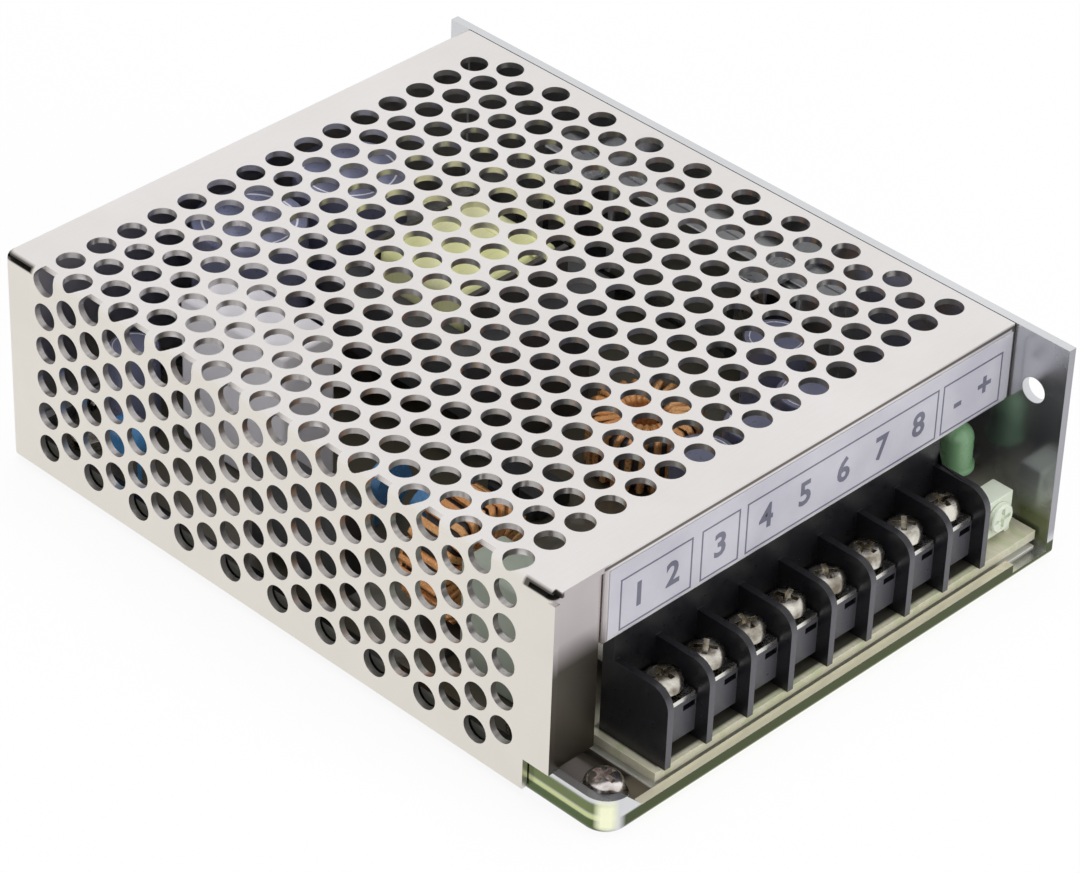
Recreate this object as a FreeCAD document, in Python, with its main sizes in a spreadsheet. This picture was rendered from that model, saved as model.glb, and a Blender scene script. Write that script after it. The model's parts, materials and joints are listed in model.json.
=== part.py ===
import FreeCAD, Part
import math
import os
import re
import Sketcher

# Mesh case switching power supply: an open frame board in a folded chassis under a perforated cover.
# Frame: X across the case, the solid chassis wall on +X; terminals face -Y; Z up; z = 0 is the base.
# Sizes are millimetres.

SIZES = [
    # case
    ("case_width", 98.0), ("case_length", 129.0), ("case_height", 38.0),
    ("chassis_sheet", 1.5), ("chassis_bend", 1.3), ("chassis_corner", 4.0), ("lip_height", 6.2),
    ("front_lip_height", 3.0),
    ("front_lip_end_gap", 9.3), ("base_rear_gap", 4.6), ("thread_gap", 0.05),
    ("wall_hole_radius", 2.1), ("wall_hole_from_front", 5.7), ("wall_hole_height", 28.2),
    ("base_hole_radius", 1.6), ("base_hole_spacing_x", 74.0), ("base_hole_spacing_y", 90.0),
    # cover
    ("cover_sheet", 1.0), ("cover_bend", 1.5), ("flange_bend", 0.9), ("cover_gap", 0.2),
    ("cover_front_gap", 10.2), ("cover_rear_gap", 3.3), ("side_wall_bottom", 1.2),
    ("label_flange_height", 13.4), ("flange_gap", 0.2), ("tab_width", 9.5), ("tab_setback", 0.5),
    ("tab_bottom", 6.4),
    ("notch_length", 5.0), ("notch_top", 6.6),
    # perforation
    ("hole_diameter", 4.5), ("hole_pitch", 6.0), ("column_step", 5.1), ("rear_column_y", 52.0),
    ("top_row_x", -43.6), ("side_row_z", 36.3),
    # board
    ("board_thickness", 1.6), ("standoff_height", 1.5), ("board_edge_gap", 0.5), ("board_rear_gap", 3.0),
    ("board_notch_x", -36.0), ("board_notch_y", -47.0), ("insulator_thickness", 0.3),
    ("insulator_gap", 0.6), ("standoff_radius", 2.8), ("standoff_spacing_x", 84.5),
    ("standoff_front_y", -43.0), ("standoff_rear_y", 51.0), ("board_hole_radius", 1.7),
    ("standoff_bore_radius", 1.6), ("board_screw_radius", 1.4), ("board_screw_head_radius", 2.75),
    ("board_screw_head_height", 1.8), ("board_screw_tip_gap", 0.2),
    # terminal block
    ("pole_pitch", 8.5), ("barrier_thickness", 1.2), ("barrier_front_y", -63.0), ("barrier_height", 13.5),
    ("barrier_corner", 3.5), ("pole_front_y", -60.6), ("pole_height", 7.8), ("block_rear_y", -50.2),
    ("block_wall", 2.2), ("block_wall_clearance", 11.4), ("block_undercut", 1.4),
    ("block_undercut_depth", 2.0),
    ("well_width", 4.6), ("well_front_y", -59.8), ("well_rear_y", -54.0),
    ("contact_thickness", 0.8), ("contact_side_gap", 0.3), ("contact_rear_gap", 0.3),
    ("contact_leg_width", 2.5), ("contact_leg_thickness", 0.6), ("contact_leg_y", -55.2),
    ("screw_y", -57.5), ("screw_radius", 1.6), ("screw_clearance", 0.06), ("screw_head_radius", 2.9),
    ("screw_head_height", 2.3), ("screw_length", 6.6), ("screw_slot_width", 0.8), ("screw_slot_depth", 1.1),
    ("screw_slot_length", 3.5),
    ("clamp_width", 6.4), ("clamp_length", 6.2), ("clamp_thickness", 0.9), ("clamp_lip", 1.1),
    ("clamp_gap", 0.02), ("clamp_lip_gap", 0.1),
    # ground screw
    ("ground_x", -41.8), ("ground_y", -58.2), ("ground_radius", 1.45), ("ground_head_radius", 3.0),
    ("ground_head_height", 2.2), ("ground_washer_radius", 3.6), ("ground_washer_thickness", 0.7),
    ("ground_star_radius", 3.1), ("ground_star_thickness", 0.8),
    # mains side parts
    ("fuse_x", -24.0), ("fuse_y", -38.5), ("fuse_length", 20.0), ("fuse_radius", 2.6), ("fuse_lift", 1.5),
    ("fuse_cap_length", 5.0), ("fuse_cap_radius", 2.9),
    ("varistor_x", -14.0), ("varistor_y", -33.5), ("varistor_radius", 5.5), ("varistor_thickness", 4.0),
    ("thermistor_x", -12.0), ("thermistor_y", -43.0), ("thermistor_radius", 6.0),
    ("thermistor_thickness", 4.5),
    ("disc_lift", 3.0), ("lead_radius", 0.4), ("lead_pitch", 5.0),
    ("filter_box_x", -35.5), ("filter_box_y", -33.5), ("filter_box_width", 8.5), ("filter_box_length", 13.0),
    ("filter_box_height", 20.0),
    ("line_box_x", -25.5), ("line_box_y", 31.0), ("line_box_width", 10.5), ("line_box_length", 23.0),
    ("line_box_clearance", 6.4),
    ("choke_x", -31.0), ("choke_y", -19.0), ("choke_outer_radius", 8.5), ("choke_inner_radius", 4.0),
    ("choke_width", 7.0), ("choke_wire", 1.3), ("choke_base_height", 2.0), ("choke_base_length", 17.0),
    ("choke_base_width", 10.5),
    ("bridge_x", -40.0), ("bridge_y", 4.0), ("bridge_width", 4.6), ("bridge_length", 20.0),
    ("bridge_height", 15.0), ("bridge_lift", 2.0),
    ("bulk_x", -12.0), ("bulk_y", 47.5), ("bulk_radius", 9.0), ("bulk_clearance", 3.4), ("bulk_pitch", 21.0),
    ("can_rim", 1.0), ("can_dish", 0.4),
    ("bias_cap_x", -34.0), ("bias_cap_y", 49.5), ("bias_cap_radius", 4.0), ("bias_cap_height", 15.0),
    # transformer
    ("transformer_x", 10.0), ("transformer_y", 22.0), ("core_width", 32.0), ("core_length", 32.0),
    ("transformer_clearance", 5.2), ("winding_lift", 3.8), ("core_leg", 5.0), ("core_centre_leg", 9.0),
    ("winding_wall", 6.2), ("winding_gap", 0.2), ("bobbin_flange", 1.0),
    ("winding_corner", 2.5),
    # right wall power parts
    ("bar_height", 17.0), ("bar_thickness", 3.0), ("bar_length", 62.0), ("bar_y", 9.0), ("bar_lift", 5.0),
    ("pad_thickness", 0.4), ("pad_margin", 0.6), ("pack_width", 10.2), ("pack_height", 15.0),
    ("pack_thickness", 4.5), ("pack_lift", 6.0), ("pack_tab", 5.0), ("pack_tab_thickness", 1.3),
    ("transistor_y", 30.0), ("rectifier_y", -10.0), ("clip_width", 6.0), ("clip_thickness", 0.8),
    ("clip_drop", 11.0), ("pack_lead_width", 0.8), ("pack_lead_pitch", 2.54),
    # output side parts
    ("inductor_x", 16.0), ("inductor_y", -10.5), ("inductor_outer_radius", 8.0),
    ("inductor_inner_radius", 4.0), ("inductor_height", 8.0), ("inductor_wire", 1.2),
    ("output_cap_radius", 5.0), ("output_cap_height", 20.0), ("output_cap_y", -33.0),
    ("output_cap_pitch", 11.5), ("output_cap_x", 4.0), ("output_cap_side_x", 34.0),
    ("output_cap_side_y", -20.0),
    ("y_cap_radius", 3.6), ("y_cap_thickness", 2.6), ("y_cap_x", -22.0), ("y_cap_y", -3.0),
    ("y_cap_pitch", 9.0), ("side_cap_x", -42.8), ("side_cap_y", 41.0),
    ("coupler_x", -3.0), ("coupler_y", -8.0), ("coupler_width", 6.5), ("coupler_length", 4.6),
    ("coupler_height", 3.5), ("coupler_lift", 0.4), ("coupler_pitch", 6.5), ("coupler_foot", 0.8),
    ("coupler_foot_length", 3.2),
    ("led_x", 41.7), ("led_y", -50.2), ("led_radius", 2.5), ("led_rim_radius", 2.9), ("led_rim_height", 1.0),
    ("led_crown_radius", 1.8), ("led_crown_height", 0.9), ("led_height", 8.0),
    ("led_lift", 8.0), ("led_lead_pitch", 2.54), ("led_lead_radius", 0.3),
    ("trimmer_x", 41.0), ("trimmer_y", -57.6), ("trimmer_width", 6.6), ("trimmer_depth", 4.0),
    ("trimmer_height", 7.4), ("rotor_radius", 2.4), ("rotor_depth", 1.0), ("rotor_axis_height", 4.2),
    ("rotor_clearance", 0.08), ("rotor_slot", 0.7), ("rotor_slot_length", 3.4),
    ("rotor_slot_depth", 0.5), ("shaft_radius", 1.0),
    # cover screws at the rear
    ("cover_screw_x", 34.0), ("cover_screw_z", 3.9), ("cover_screw_radius", 1.4),
    ("cover_screw_head_radius", 2.6), ("cover_screw_head_height", 1.8), ("cover_screw_clearance", 0.15),
    ("cover_screw_length", 3.4),
]

# The number of terminals and of perforation columns, and how many flats stand for a circle.
POLE_COUNT = 8
COLUMN_COUNT = 20
HOLE_FLATS = 6
SMALL_FLATS = 12
ROUND_FLATS = 20

doc = FreeCAD.newDocument("mesh_case_supply")
sheet = doc.addObject("Spreadsheet::Sheet", "Sizes")
for row, (alias, value) in enumerate(SIZES, 1):
    sheet.set(f"A{row}", alias)
    sheet.set(f"B{row}", str(value))
    sheet.setAlias(f"B{row}", alias)
doc.recompute()
ALIASES = {alias for alias, value in SIZES}
DIRECTIONS = {
    "x": FreeCAD.Vector(1, 0, 0),
    "y": FreeCAD.Vector(0, 1, 0),
    "z": FreeCAD.Vector(0, 0, 1),
}
UP = DIRECTIONS["z"]


def formula(text):
    """Return the text with each size named as the sheet knows it."""
    def named(word):
        return f"Sizes.{word.group()}" if word.group() in ALIASES else word.group()

    return re.sub(r"[a-z][a-z_]+", named, text)


def bind(thing, path, text):
    """Bind one property of a thing to a formula of sizes."""
    thing.setExpression(path, formula(text))


def place(thing, corner):
    """Bind a thing's place to three formulas."""
    for axis, text in zip("xyz", corner):
        bind(thing, f".Placement.Base.{axis}", text)
    return thing


def block(name, corner, size):
    """A box from its low corner and its three sizes."""
    box = doc.addObject("Part::Box", name)
    for path, text in zip(("Length", "Width", "Height"), size):
        bind(box, path, text)
    return place(box, corner)


def centred_block(name, middle, size):
    """A box centred on x and y that stands on its z."""
    corner = [f"({middle[0]}) - ({size[0]}) / 2", f"({middle[1]}) - ({size[1]}) / 2", middle[2]]
    return block(name, corner, size)


def rod(name, foot, radius, height, axis="z", flats=None):
    """A cylinder, or a prism of some flats, from its foot along an axis."""
    if flats:
        bar = doc.addObject("Part::Prism", name)
        bar.Polygon = flats
        bind(bar, "Circumradius", radius)
    else:
        bar = doc.addObject("Part::Cylinder", name)
        bind(bar, "Radius", radius)
    bind(bar, "Height", height)
    bar.Placement = FreeCAD.Placement(FreeCAD.Vector(), FreeCAD.Rotation(UP, DIRECTIONS[axis]))
    return place(bar, foot)


def bore(name, foot, radius, height, axis="z"):
    """A tool for a hole with a few flats, each of them at the radius from the middle."""
    return rod(name, foot, f"({radius}) / cos(180 / {SMALL_FLATS})", height, axis, SMALL_FLATS)


def fuse(name, *things):
    """One solid or group of several things."""
    whole = doc.addObject("Part::MultiFuse", name)
    whole.Shapes = list(things)
    whole.Refine = True
    return whole


def group(name, *things):
    """Separate solids kept as one sub-part."""
    whole = doc.addObject("Part::Compound", name)
    whole.Links = list(things)
    return whole


def cut(name, base, *tools):
    """A base with tools taken out of it."""
    result = doc.addObject("Part::Cut", name)
    result.Base = base
    result.Tool = tools[0] if len(tools) == 1 else group(name + "_tools", *tools)
    return result


def edges_at(shape, direction, **where):
    """Name the straight edges along a direction whose middle lies at the given places."""
    names = []
    for number, edge in enumerate(shape.Edges, 1):
        if len(edge.Vertexes) != 2:
            continue
        span = edge.Vertexes[1].Point - edge.Vertexes[0].Point
        if abs(abs(span.dot(DIRECTIONS[direction])) - edge.Length) > 0.001:
            continue
        middle = (edge.Vertexes[0].Point + edge.Vertexes[1].Point) / 2
        if all(abs(getattr(middle, axis) - at) < 0.01 for axis, at in where.items()):
            names.append(f"Edge{number}")
    return names


def size(alias):
    """Read one size from the sheet."""
    return float(sheet.get(alias))


def new_body(name):
    """An empty body for a piece that is made by sketches and features."""
    return doc.addObject("PartDesign::Body", name)


def sketch_on(body, role, offset):
    """A sketch on one of the body's own planes, moved along the plane's normal."""
    plane = next(item for item in body.Origin.OriginFeatures if item.Role == role)
    sketch = body.newObject("Sketcher::SketchObject", body.Name + "_sketch")
    sketch.AttachmentSupport = [(plane, "")]
    sketch.MapMode = "FlatFace"
    bind(sketch, ".AttachmentOffset.Base.z", offset)
    return sketch


def outline(sketch, corners):
    """Draw a closed outline whose corners are pairs of formulas."""
    count = len(corners)
    turns = [2 * math.pi * i / count for i in range(count)]
    ring = [FreeCAD.Vector(math.cos(turn), math.sin(turn), 0) for turn in turns]
    for i in range(count):
        sketch.addGeometry(Part.LineSegment(ring[i], ring[(i + 1) % count]), False)
    for i in range(count):
        sketch.addConstraint(Sketcher.Constraint("Coincident", i, 2, (i + 1) % count, 1))
    for i, corner in enumerate(corners):
        for kind, start, text in zip(("DistanceX", "DistanceY"), ring[i], corner):
            number = sketch.addConstraint(Sketcher.Constraint(kind, -1, 1, i, 1, start))
            bind(sketch, f"Constraints[{number}]", text)
    return sketch


def circle(sketch, number, centre, radius):
    """Draw one circle by formulas."""
    sketch.addGeometry(Part.Circle(FreeCAD.Vector(number, number, 0), UP, 1), False)
    for kind, text in zip(("DistanceX", "DistanceY"), centre):
        at = sketch.addConstraint(Sketcher.Constraint(kind, -1, 1, number, 3, float(number)))
        bind(sketch, f"Constraints[{at}]", text)
    at = sketch.addConstraint(Sketcher.Constraint("Radius", number, 1.0))
    bind(sketch, f"Constraints[{at}]", radius)


def pad(body, sketch, length):
    """Grow a sketch along its normal."""
    feature = body.newObject("PartDesign::Pad", body.Name + "_pad")
    feature.Profile = sketch
    bind(feature, "Length", length)
    body.Tip = feature
    doc.recompute()
    return feature


def pocket(body, sketch, length, reverse=False):
    """Cut a sketch against its normal, or along it when reversed."""
    feature = body.newObject("PartDesign::Pocket", body.Name + "_pocket")
    feature.Profile = sketch
    bind(feature, "Length", length)
    feature.Reversed = reverse
    body.Tip = feature
    doc.recompute()
    return feature


def repeat(body, feature, role, length, count):
    """Repeat a feature in a row along one of the body's axes."""
    axis = next(item for item in body.Origin.OriginFeatures if item.Role == role)
    row = body.newObject("PartDesign::LinearPattern", body.Name + "_row")
    row.Originals = [feature]
    row.Direction = (axis, [""])
    bind(row, "Length", length)
    row.Occurrences = count
    body.Tip = row
    doc.recompute()
    return row


def round_edges(body, names, radius):
    """Round named edges of the body's last feature."""
    base = body.Tip
    feature = body.newObject("PartDesign::Fillet", body.Name + "_fillet")
    feature.Base = (base, names)
    bind(feature, "Radius", radius)
    body.Tip = feature
    doc.recompute()
    return feature


# Heights and faces that several pieces share; the ceiling is the underside of the cover's top.
LEFT = "(-case_width / 2)"
RIGHT = "(case_width / 2)"
FRONT = "(-case_length / 2)"
REAR = "(case_length / 2)"
LIP_X = f"({LEFT} + cover_sheet + cover_gap)"
WALL_X = f"({RIGHT} - chassis_sheet)"
BASE_REAR = f"({REAR} - base_rear_gap)"
COVER_FRONT = f"({FRONT} + cover_front_gap)"
COVER_REAR = f"({REAR} - cover_rear_gap)"
COVER_RIGHT = f"({WALL_X} - cover_gap)"
CEILING = "(case_height - cover_sheet)"
BOARD_UNDER = "(chassis_sheet + standoff_height)"
BOARD_TOP = f"({BOARD_UNDER} + board_thickness)"
DECK = f"({BOARD_TOP} + pole_height)"
CONTACT_TOP = f"({DECK} + contact_thickness)"
CLAMP_TOP = f"({CONTACT_TOP} + clamp_gap + clamp_thickness)"

parts = {}


def keep(node, thing):
    """Name a finished sub-part."""
    thing.Label = node
    parts[node] = thing


# Chassis: one folded sheet with a full height wall on the right and low lips on the other sides.
def make_chassis():
    body = new_body("chassis_body")
    plan = [(LIP_X, FRONT), (RIGHT, FRONT), (RIGHT, BASE_REAR), (LIP_X, BASE_REAR)]
    pad(body, outline(sketch_on(body, "XY_Plane", "0"), plan), "lip_height")
    lip_x = -size("case_width") / 2 + size("cover_sheet") + size("cover_gap")
    front = -size("case_length") / 2
    round_edges(body, edges_at(body.Tip.Shape, "z", x=lip_x, y=front), "chassis_corner")
    inside = [
        (f"{LIP_X} + chassis_sheet", f"{FRONT} + chassis_sheet"), (WALL_X, f"{FRONT} + chassis_sheet"),
        (WALL_X, f"{BASE_REAR} - chassis_sheet"),
        (f"{LIP_X} + chassis_sheet", f"{BASE_REAR} - chassis_sheet")]
    pocket(body, outline(sketch_on(body, "XY_Plane", "lip_height"), inside), "lip_height - chassis_sheet")
    sheet_thickness = size("chassis_sheet")
    inner = edges_at(body.Tip.Shape, "z", x=lip_x + sheet_thickness, y=front + sheet_thickness)
    round_edges(body, inner, "chassis_corner - chassis_sheet")
    wall = [(WALL_X, FRONT), (RIGHT, FRONT), (RIGHT, BASE_REAR), (WALL_X, BASE_REAR)]
    pad(body, outline(sketch_on(body, "XY_Plane", "0"), wall), "case_height")
    ear = outline(sketch_on(body, "XZ_Plane", f"-{REAR}"), [
        (WALL_X, "chassis_sheet + chassis_bend"), (RIGHT, "chassis_sheet + chassis_bend"),
        (RIGHT, "case_height"), (WALL_X, "case_height")])
    pad(body, ear, "base_rear_gap")
    low_front = outline(sketch_on(body, "XZ_Plane", f"-{FRONT}"), [
        (f"{LIP_X} + chassis_corner", "lip_height"),
        (f"{LIP_X} + chassis_corner + lip_height - front_lip_height", "front_lip_height"),
        (f"{RIGHT} - front_lip_end_gap", "front_lip_height"),
        (f"{RIGHT} - front_lip_end_gap", "chassis_sheet"),
        (WALL_X, "chassis_sheet"), (WALL_X, "lip_height")])
    pocket(body, low_front, "chassis_sheet")
    flat = [f"Edge{n}" for n, edge in enumerate(body.Tip.Shape.Edges, 1) if edge.BoundBox.ZMax < 0.01]
    round_edges(body, flat, "chassis_bend")
    holes = sketch_on(body, "XY_Plane", "chassis_sheet")
    for number, (sx, sy) in enumerate(((1, 1), (1, -1), (-1, 1), (-1, -1))):
        circle(holes, number, (f"{sx} * base_hole_spacing_x / 2", f"{sy} * base_hole_spacing_y / 2"),
               "base_hole_radius")
    circle(holes, 4, ("ground_x", "ground_y"), "ground_radius + thread_gap")
    pocket(body, holes, "chassis_sheet")
    side = sketch_on(body, "YZ_Plane", RIGHT)
    circle(side, 0, (f"{FRONT} + wall_hole_from_front", "wall_hole_height"), "wall_hole_radius")
    pocket(body, side, "chassis_sheet")
    rear_holes = sketch_on(body, "XZ_Plane", f"-({BASE_REAR} - chassis_sheet)")
    for number, side_sign in enumerate((1, -1)):
        circle(rear_holes, number, (f"{side_sign} * cover_screw_x", "cover_screw_z"),
               "cover_screw_radius + thread_gap")
    pocket(body, rear_holes, "chassis_sheet")
    keep("chassis", body)


# Cover: one folded sheet, perforated on its top and on its left side.
def make_cover():
    body = new_body("cover_body")
    shell = outline(sketch_on(body, "XZ_Plane", f"-{COVER_REAR}"), [
        (LEFT, "side_wall_bottom"), (f"{LEFT} + cover_sheet", "side_wall_bottom"),
        (f"{LEFT} + cover_sheet", "case_height - cover_sheet"), (COVER_RIGHT, "case_height - cover_sheet"),
        (COVER_RIGHT, "case_height"), (LEFT, "case_height")])
    pad(body, shell, "case_length - cover_front_gap - cover_rear_gap")
    rear = outline(sketch_on(body, "XZ_Plane", f"-{COVER_REAR}"), [
        (LEFT, "side_wall_bottom"), (COVER_RIGHT, "side_wall_bottom"), (COVER_RIGHT, "case_height"),
        (LEFT, "case_height")])
    pad(body, rear, "cover_sheet")
    label = outline(sketch_on(body, "XZ_Plane", f"-({COVER_FRONT} + cover_sheet)"), [
        (f"{LEFT} + tab_width + flange_gap", "case_height - label_flange_height"),
        (COVER_RIGHT, "case_height - label_flange_height"), (COVER_RIGHT, "case_height"),
        (f"{LEFT} + tab_width + flange_gap", "case_height")])
    pad(body, label, "cover_sheet")
    tab = outline(sketch_on(body, "XZ_Plane", f"-({COVER_FRONT} + tab_setback + cover_sheet)"), [
        (LEFT, "notch_top"), (f"{LEFT} + cover_sheet", "notch_top"),
        (f"{LEFT} + cover_sheet", "tab_bottom"), (f"{LEFT} + tab_width", "tab_bottom"),
        (f"{LEFT} + tab_width", f"{CEILING} - flange_gap"), (LEFT, f"{CEILING} - flange_gap")])
    pad(body, tab, "cover_sheet")
    notch = outline(sketch_on(body, "YZ_Plane", LEFT), [
        (COVER_FRONT, "side_wall_bottom"), (f"{COVER_FRONT} + notch_length", "side_wall_bottom"),
        (f"{COVER_FRONT} + notch_length", "notch_top"), (COVER_FRONT, "notch_top")])
    pocket(body, notch, "cover_sheet", reverse=True)
    screw_holes = sketch_on(body, "XZ_Plane", f"-{COVER_REAR}")
    for number, side_sign in enumerate((1, -1)):
        circle(screw_holes, number, (f"{side_sign} * cover_screw_x", "cover_screw_z"),
               "cover_screw_radius + cover_screw_clearance")
    pocket(body, screw_holes, "cover_sheet", reverse=True)
    left = -size("case_width") / 2
    top = size("case_height")
    front = -size("case_length") / 2 + size("cover_front_gap")
    rear_y = size("case_length") / 2 - size("cover_rear_gap")
    shape = body.Tip.Shape
    bends = edges_at(shape, "y", x=left, z=top)
    bends += edges_at(shape, "x", y=rear_y, z=top) + edges_at(shape, "z", x=left, y=rear_y)
    round_edges(body, bends, "cover_bend")
    shape = body.Tip.Shape
    round_edges(body, edges_at(shape, "x", y=front, z=top), "flange_bend")

    punches = doc.addObject("Part::Feature", "perforation")
    punches.Shape = Part.makeCompound(list(hole_punches()))
    keep("mesh_cover", cut("cover_cut", body, punches))


def hole_punches():
    """Make a punch for each hole: the columns step along Y and are staggered by half a pitch."""
    pitch = size("hole_pitch")
    left = -size("case_width") / 2
    right = size("case_width") / 2 - size("chassis_sheet") - size("cover_gap")
    top = size("case_height")
    radius = size("hole_diameter") / 2
    reach = 2 * size("cover_sheet")
    # the flats enclose the same area as the round hole
    corner = radius * math.sqrt(2 * math.pi / (HOLE_FLATS * math.sin(2 * math.pi / HOLE_FLATS)))
    down = FreeCAD.Vector(0, 0, -2 * reach)
    inward = FreeCAD.Vector(2 * reach, 0, 0)
    for column in range(COLUMN_COUNT):
        y = size("rear_column_y") - column * size("column_step")
        shift = 0 if column % 2 == 0 else pitch / 2
        x = size("top_row_x") - shift
        while x < right - radius - size("cover_sheet"):
            yield flat_punch(FreeCAD.Vector(x, y, top + reach), corner, DIRECTIONS["x"], down)
            x += pitch
        z = size("side_row_z") - shift
        while z > size("side_wall_bottom") + radius + size("cover_sheet"):
            yield flat_punch(FreeCAD.Vector(left - reach, y, z), corner, DIRECTIONS["z"], inward)
            z -= pitch


def flat_punch(centre, corner, across, depth):
    """A prism with flats that face along the row of holes."""
    along = DIRECTIONS["y"]
    turn = [2 * math.pi * i / HOLE_FLATS for i in range(HOLE_FLATS + 1)]
    points = [centre + across * (corner * math.sin(a)) + along * (corner * math.cos(a)) for a in turn]
    return Part.Face(Part.makePolygon(points)).extrude(depth)


# Board, the sheet that insulates it, its standoffs and its screws.
def make_board():
    board_left = f"({LIP_X} + chassis_sheet + board_edge_gap)"
    board_right = f"({WALL_X} - board_edge_gap)"
    board_front = f"({FRONT} + chassis_sheet + board_edge_gap)"
    board_rear = f"({BASE_REAR} - board_rear_gap)"
    corners = [
        ("board_notch_x", board_front), (board_right, board_front), (board_right, board_rear),
        (board_left, board_rear), (board_left, "board_notch_y"), ("board_notch_x", "board_notch_y")]
    spots = [(sx, y) for sx in (1, -1) for y in ("standoff_front_y", "standoff_rear_y")]
    for node, foot, thick, radius in (
            ("circuit_board", BOARD_UNDER, "board_thickness", "board_hole_radius"),
            ("insulating_sheet", "chassis_sheet", "insulator_thickness", "standoff_radius + insulator_gap")):
        body = new_body(node + "_body")
        pad(body, outline(sketch_on(body, "XY_Plane", foot), corners), thick)
        holes = [bore(f"{node}_hole_{number}", (f"{sx} * standoff_spacing_x / 2", y, foot), radius, thick)
                 for number, (sx, y) in enumerate(spots)]
        keep(node, cut(node + "_cut", body, *holes))
    posts, screws = [], []
    for number, (sx, y) in enumerate(spots):
        x = f"{sx} * standoff_spacing_x / 2"
        foot = (x, y, "chassis_sheet")
        post = rod(f"post_{number}", foot, "standoff_radius", "standoff_height", flats=SMALL_FLATS)
        hole = bore(f"post_bore_{number}", foot, "standoff_bore_radius", "standoff_height")
        posts.append(cut(f"post_cut_{number}", post, hole))
        head = rod(f"board_head_{number}", (x, y, BOARD_TOP), "board_screw_head_radius",
                   "board_screw_head_height", flats=SMALL_FLATS)
        shank = rod(f"board_shank_{number}", (x, y, "chassis_sheet + board_screw_tip_gap"),
                    "board_screw_radius", f"{BOARD_TOP} - chassis_sheet - board_screw_tip_gap",
                    flats=HOLE_FLATS)
        screws.append(fuse(f"board_screw_{number}", head, shank))
    keep("board_standoffs", group("standoff_group", *posts))
    keep("board_screws", group("board_screw_group", *screws))


# Terminal block: a moulded housing with barriers, and in each pole a contact, a clamp and a screw.
def make_terminal_block():
    width = f"({POLE_COUNT} * pole_pitch + barrier_thickness)"
    body = new_body("block_body")
    section = [
        ("pole_front_y", f"{BOARD_TOP} + block_undercut"), ("pole_front_y", DECK),
        ("block_rear_y - block_wall", DECK),
        ("block_rear_y - block_wall", f"{CEILING} - block_wall_clearance"),
        ("block_rear_y", f"{CEILING} - block_wall_clearance"), ("block_rear_y", BOARD_TOP),
        ("pole_front_y + block_undercut_depth", BOARD_TOP),
        ("pole_front_y + block_undercut_depth", f"{BOARD_TOP} + block_undercut")]
    pad(body, outline(sketch_on(body, "YZ_Plane", f"-{width} / 2"), section), width)
    fin = outline(sketch_on(body, "YZ_Plane", f"-{width} / 2"), [
        ("barrier_front_y", BOARD_TOP), ("barrier_front_y", f"{BOARD_TOP} + barrier_height"),
        ("block_rear_y", f"{BOARD_TOP} + barrier_height"), ("block_rear_y", BOARD_TOP)])
    barrier = pad(body, fin, "barrier_thickness")
    repeat(body, barrier, "X_Axis", f"{POLE_COUNT} * pole_pitch", POLE_COUNT + 1)
    first = f"(-({POLE_COUNT} - 1) / 2 * pole_pitch)"
    well = outline(sketch_on(body, "XY_Plane", DECK), [
        (f"{first} - well_width / 2", "well_front_y"), (f"{first} + well_width / 2", "well_front_y"),
        (f"{first} + well_width / 2", "well_rear_y"), (f"{first} - well_width / 2", "well_rear_y")])
    hollow = pocket(body, well, "pole_height")
    repeat(body, hollow, "X_Axis", f"({POLE_COUNT} - 1) * pole_pitch", POLE_COUNT)
    board_top = size("chassis_sheet") + size("standoff_height") + size("board_thickness")
    barrier_top = board_top + size("barrier_height")
    tops = edges_at(body.Tip.Shape, "x", y=size("barrier_front_y"), z=barrier_top)
    round_edges(body, tops, "barrier_corner")
    keep("terminal_block", body)

    contacts = []
    for pole in range(POLE_COUNT):
        x = f"(({pole} - ({POLE_COUNT} - 1) / 2) * pole_pitch)"
        contacts.append(make_contact(pole, x))
        make_clamp(pole, x)
        make_terminal_screw(pole, x)
    keep("terminal_contacts", group("contact_group", *contacts))


def make_contact(pole, x):
    """The plate under a clamp, threaded for the screw, with a leg down to the board."""
    room = "pole_pitch - barrier_thickness - 2 * contact_side_gap"
    plate = block(f"contact_plate_{pole}", (f"{x} - ({room}) / 2", "pole_front_y", DECK),
                  (room, "block_rear_y - block_wall - contact_rear_gap - pole_front_y", "contact_thickness"))
    leg = block(f"contact_leg_{pole}", (f"{x} - contact_leg_width / 2", "contact_leg_y", BOARD_TOP),
                ("contact_leg_width", "contact_leg_thickness", "pole_height"))
    thread = bore(f"contact_thread_{pole}", (x, "screw_y", DECK), "screw_radius + screw_clearance",
                  "contact_thickness")
    return cut(f"contact_{pole}", fuse(f"contact_blank_{pole}", plate, leg), thread)


def make_clamp(pole, x):
    """The square clamp plate that rides under the screw's head, its front edge folded down."""
    foot = f"{CONTACT_TOP} + clamp_gap"
    plate = block(f"clamp_plate_{pole}", (f"{x} - clamp_width / 2", "screw_y - clamp_length / 2", foot),
                  ("clamp_width", "clamp_length", "clamp_thickness"))
    lip_front = "(pole_front_y - clamp_lip_gap - clamp_thickness)"
    lip = block(f"clamp_lip_{pole}", (f"{x} - clamp_width / 2", lip_front, f"{foot} - clamp_lip"),
                ("clamp_width", "clamp_thickness", "clamp_lip + clamp_thickness"))
    bridge = block(f"clamp_bridge_{pole}", (f"{x} - clamp_width / 2", lip_front, foot),
                   ("clamp_width", f"screw_y - {lip_front}", "clamp_thickness"))
    hole = bore(f"clamp_bore_{pole}", (x, "screw_y", foot), "screw_radius + screw_clearance",
                "clamp_thickness")
    keep(f"terminal_clamp_{pole + 1}",
         cut(f"clamp_{pole}", fuse(f"clamp_blank_{pole}", plate, lip, bridge), hole))


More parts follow.
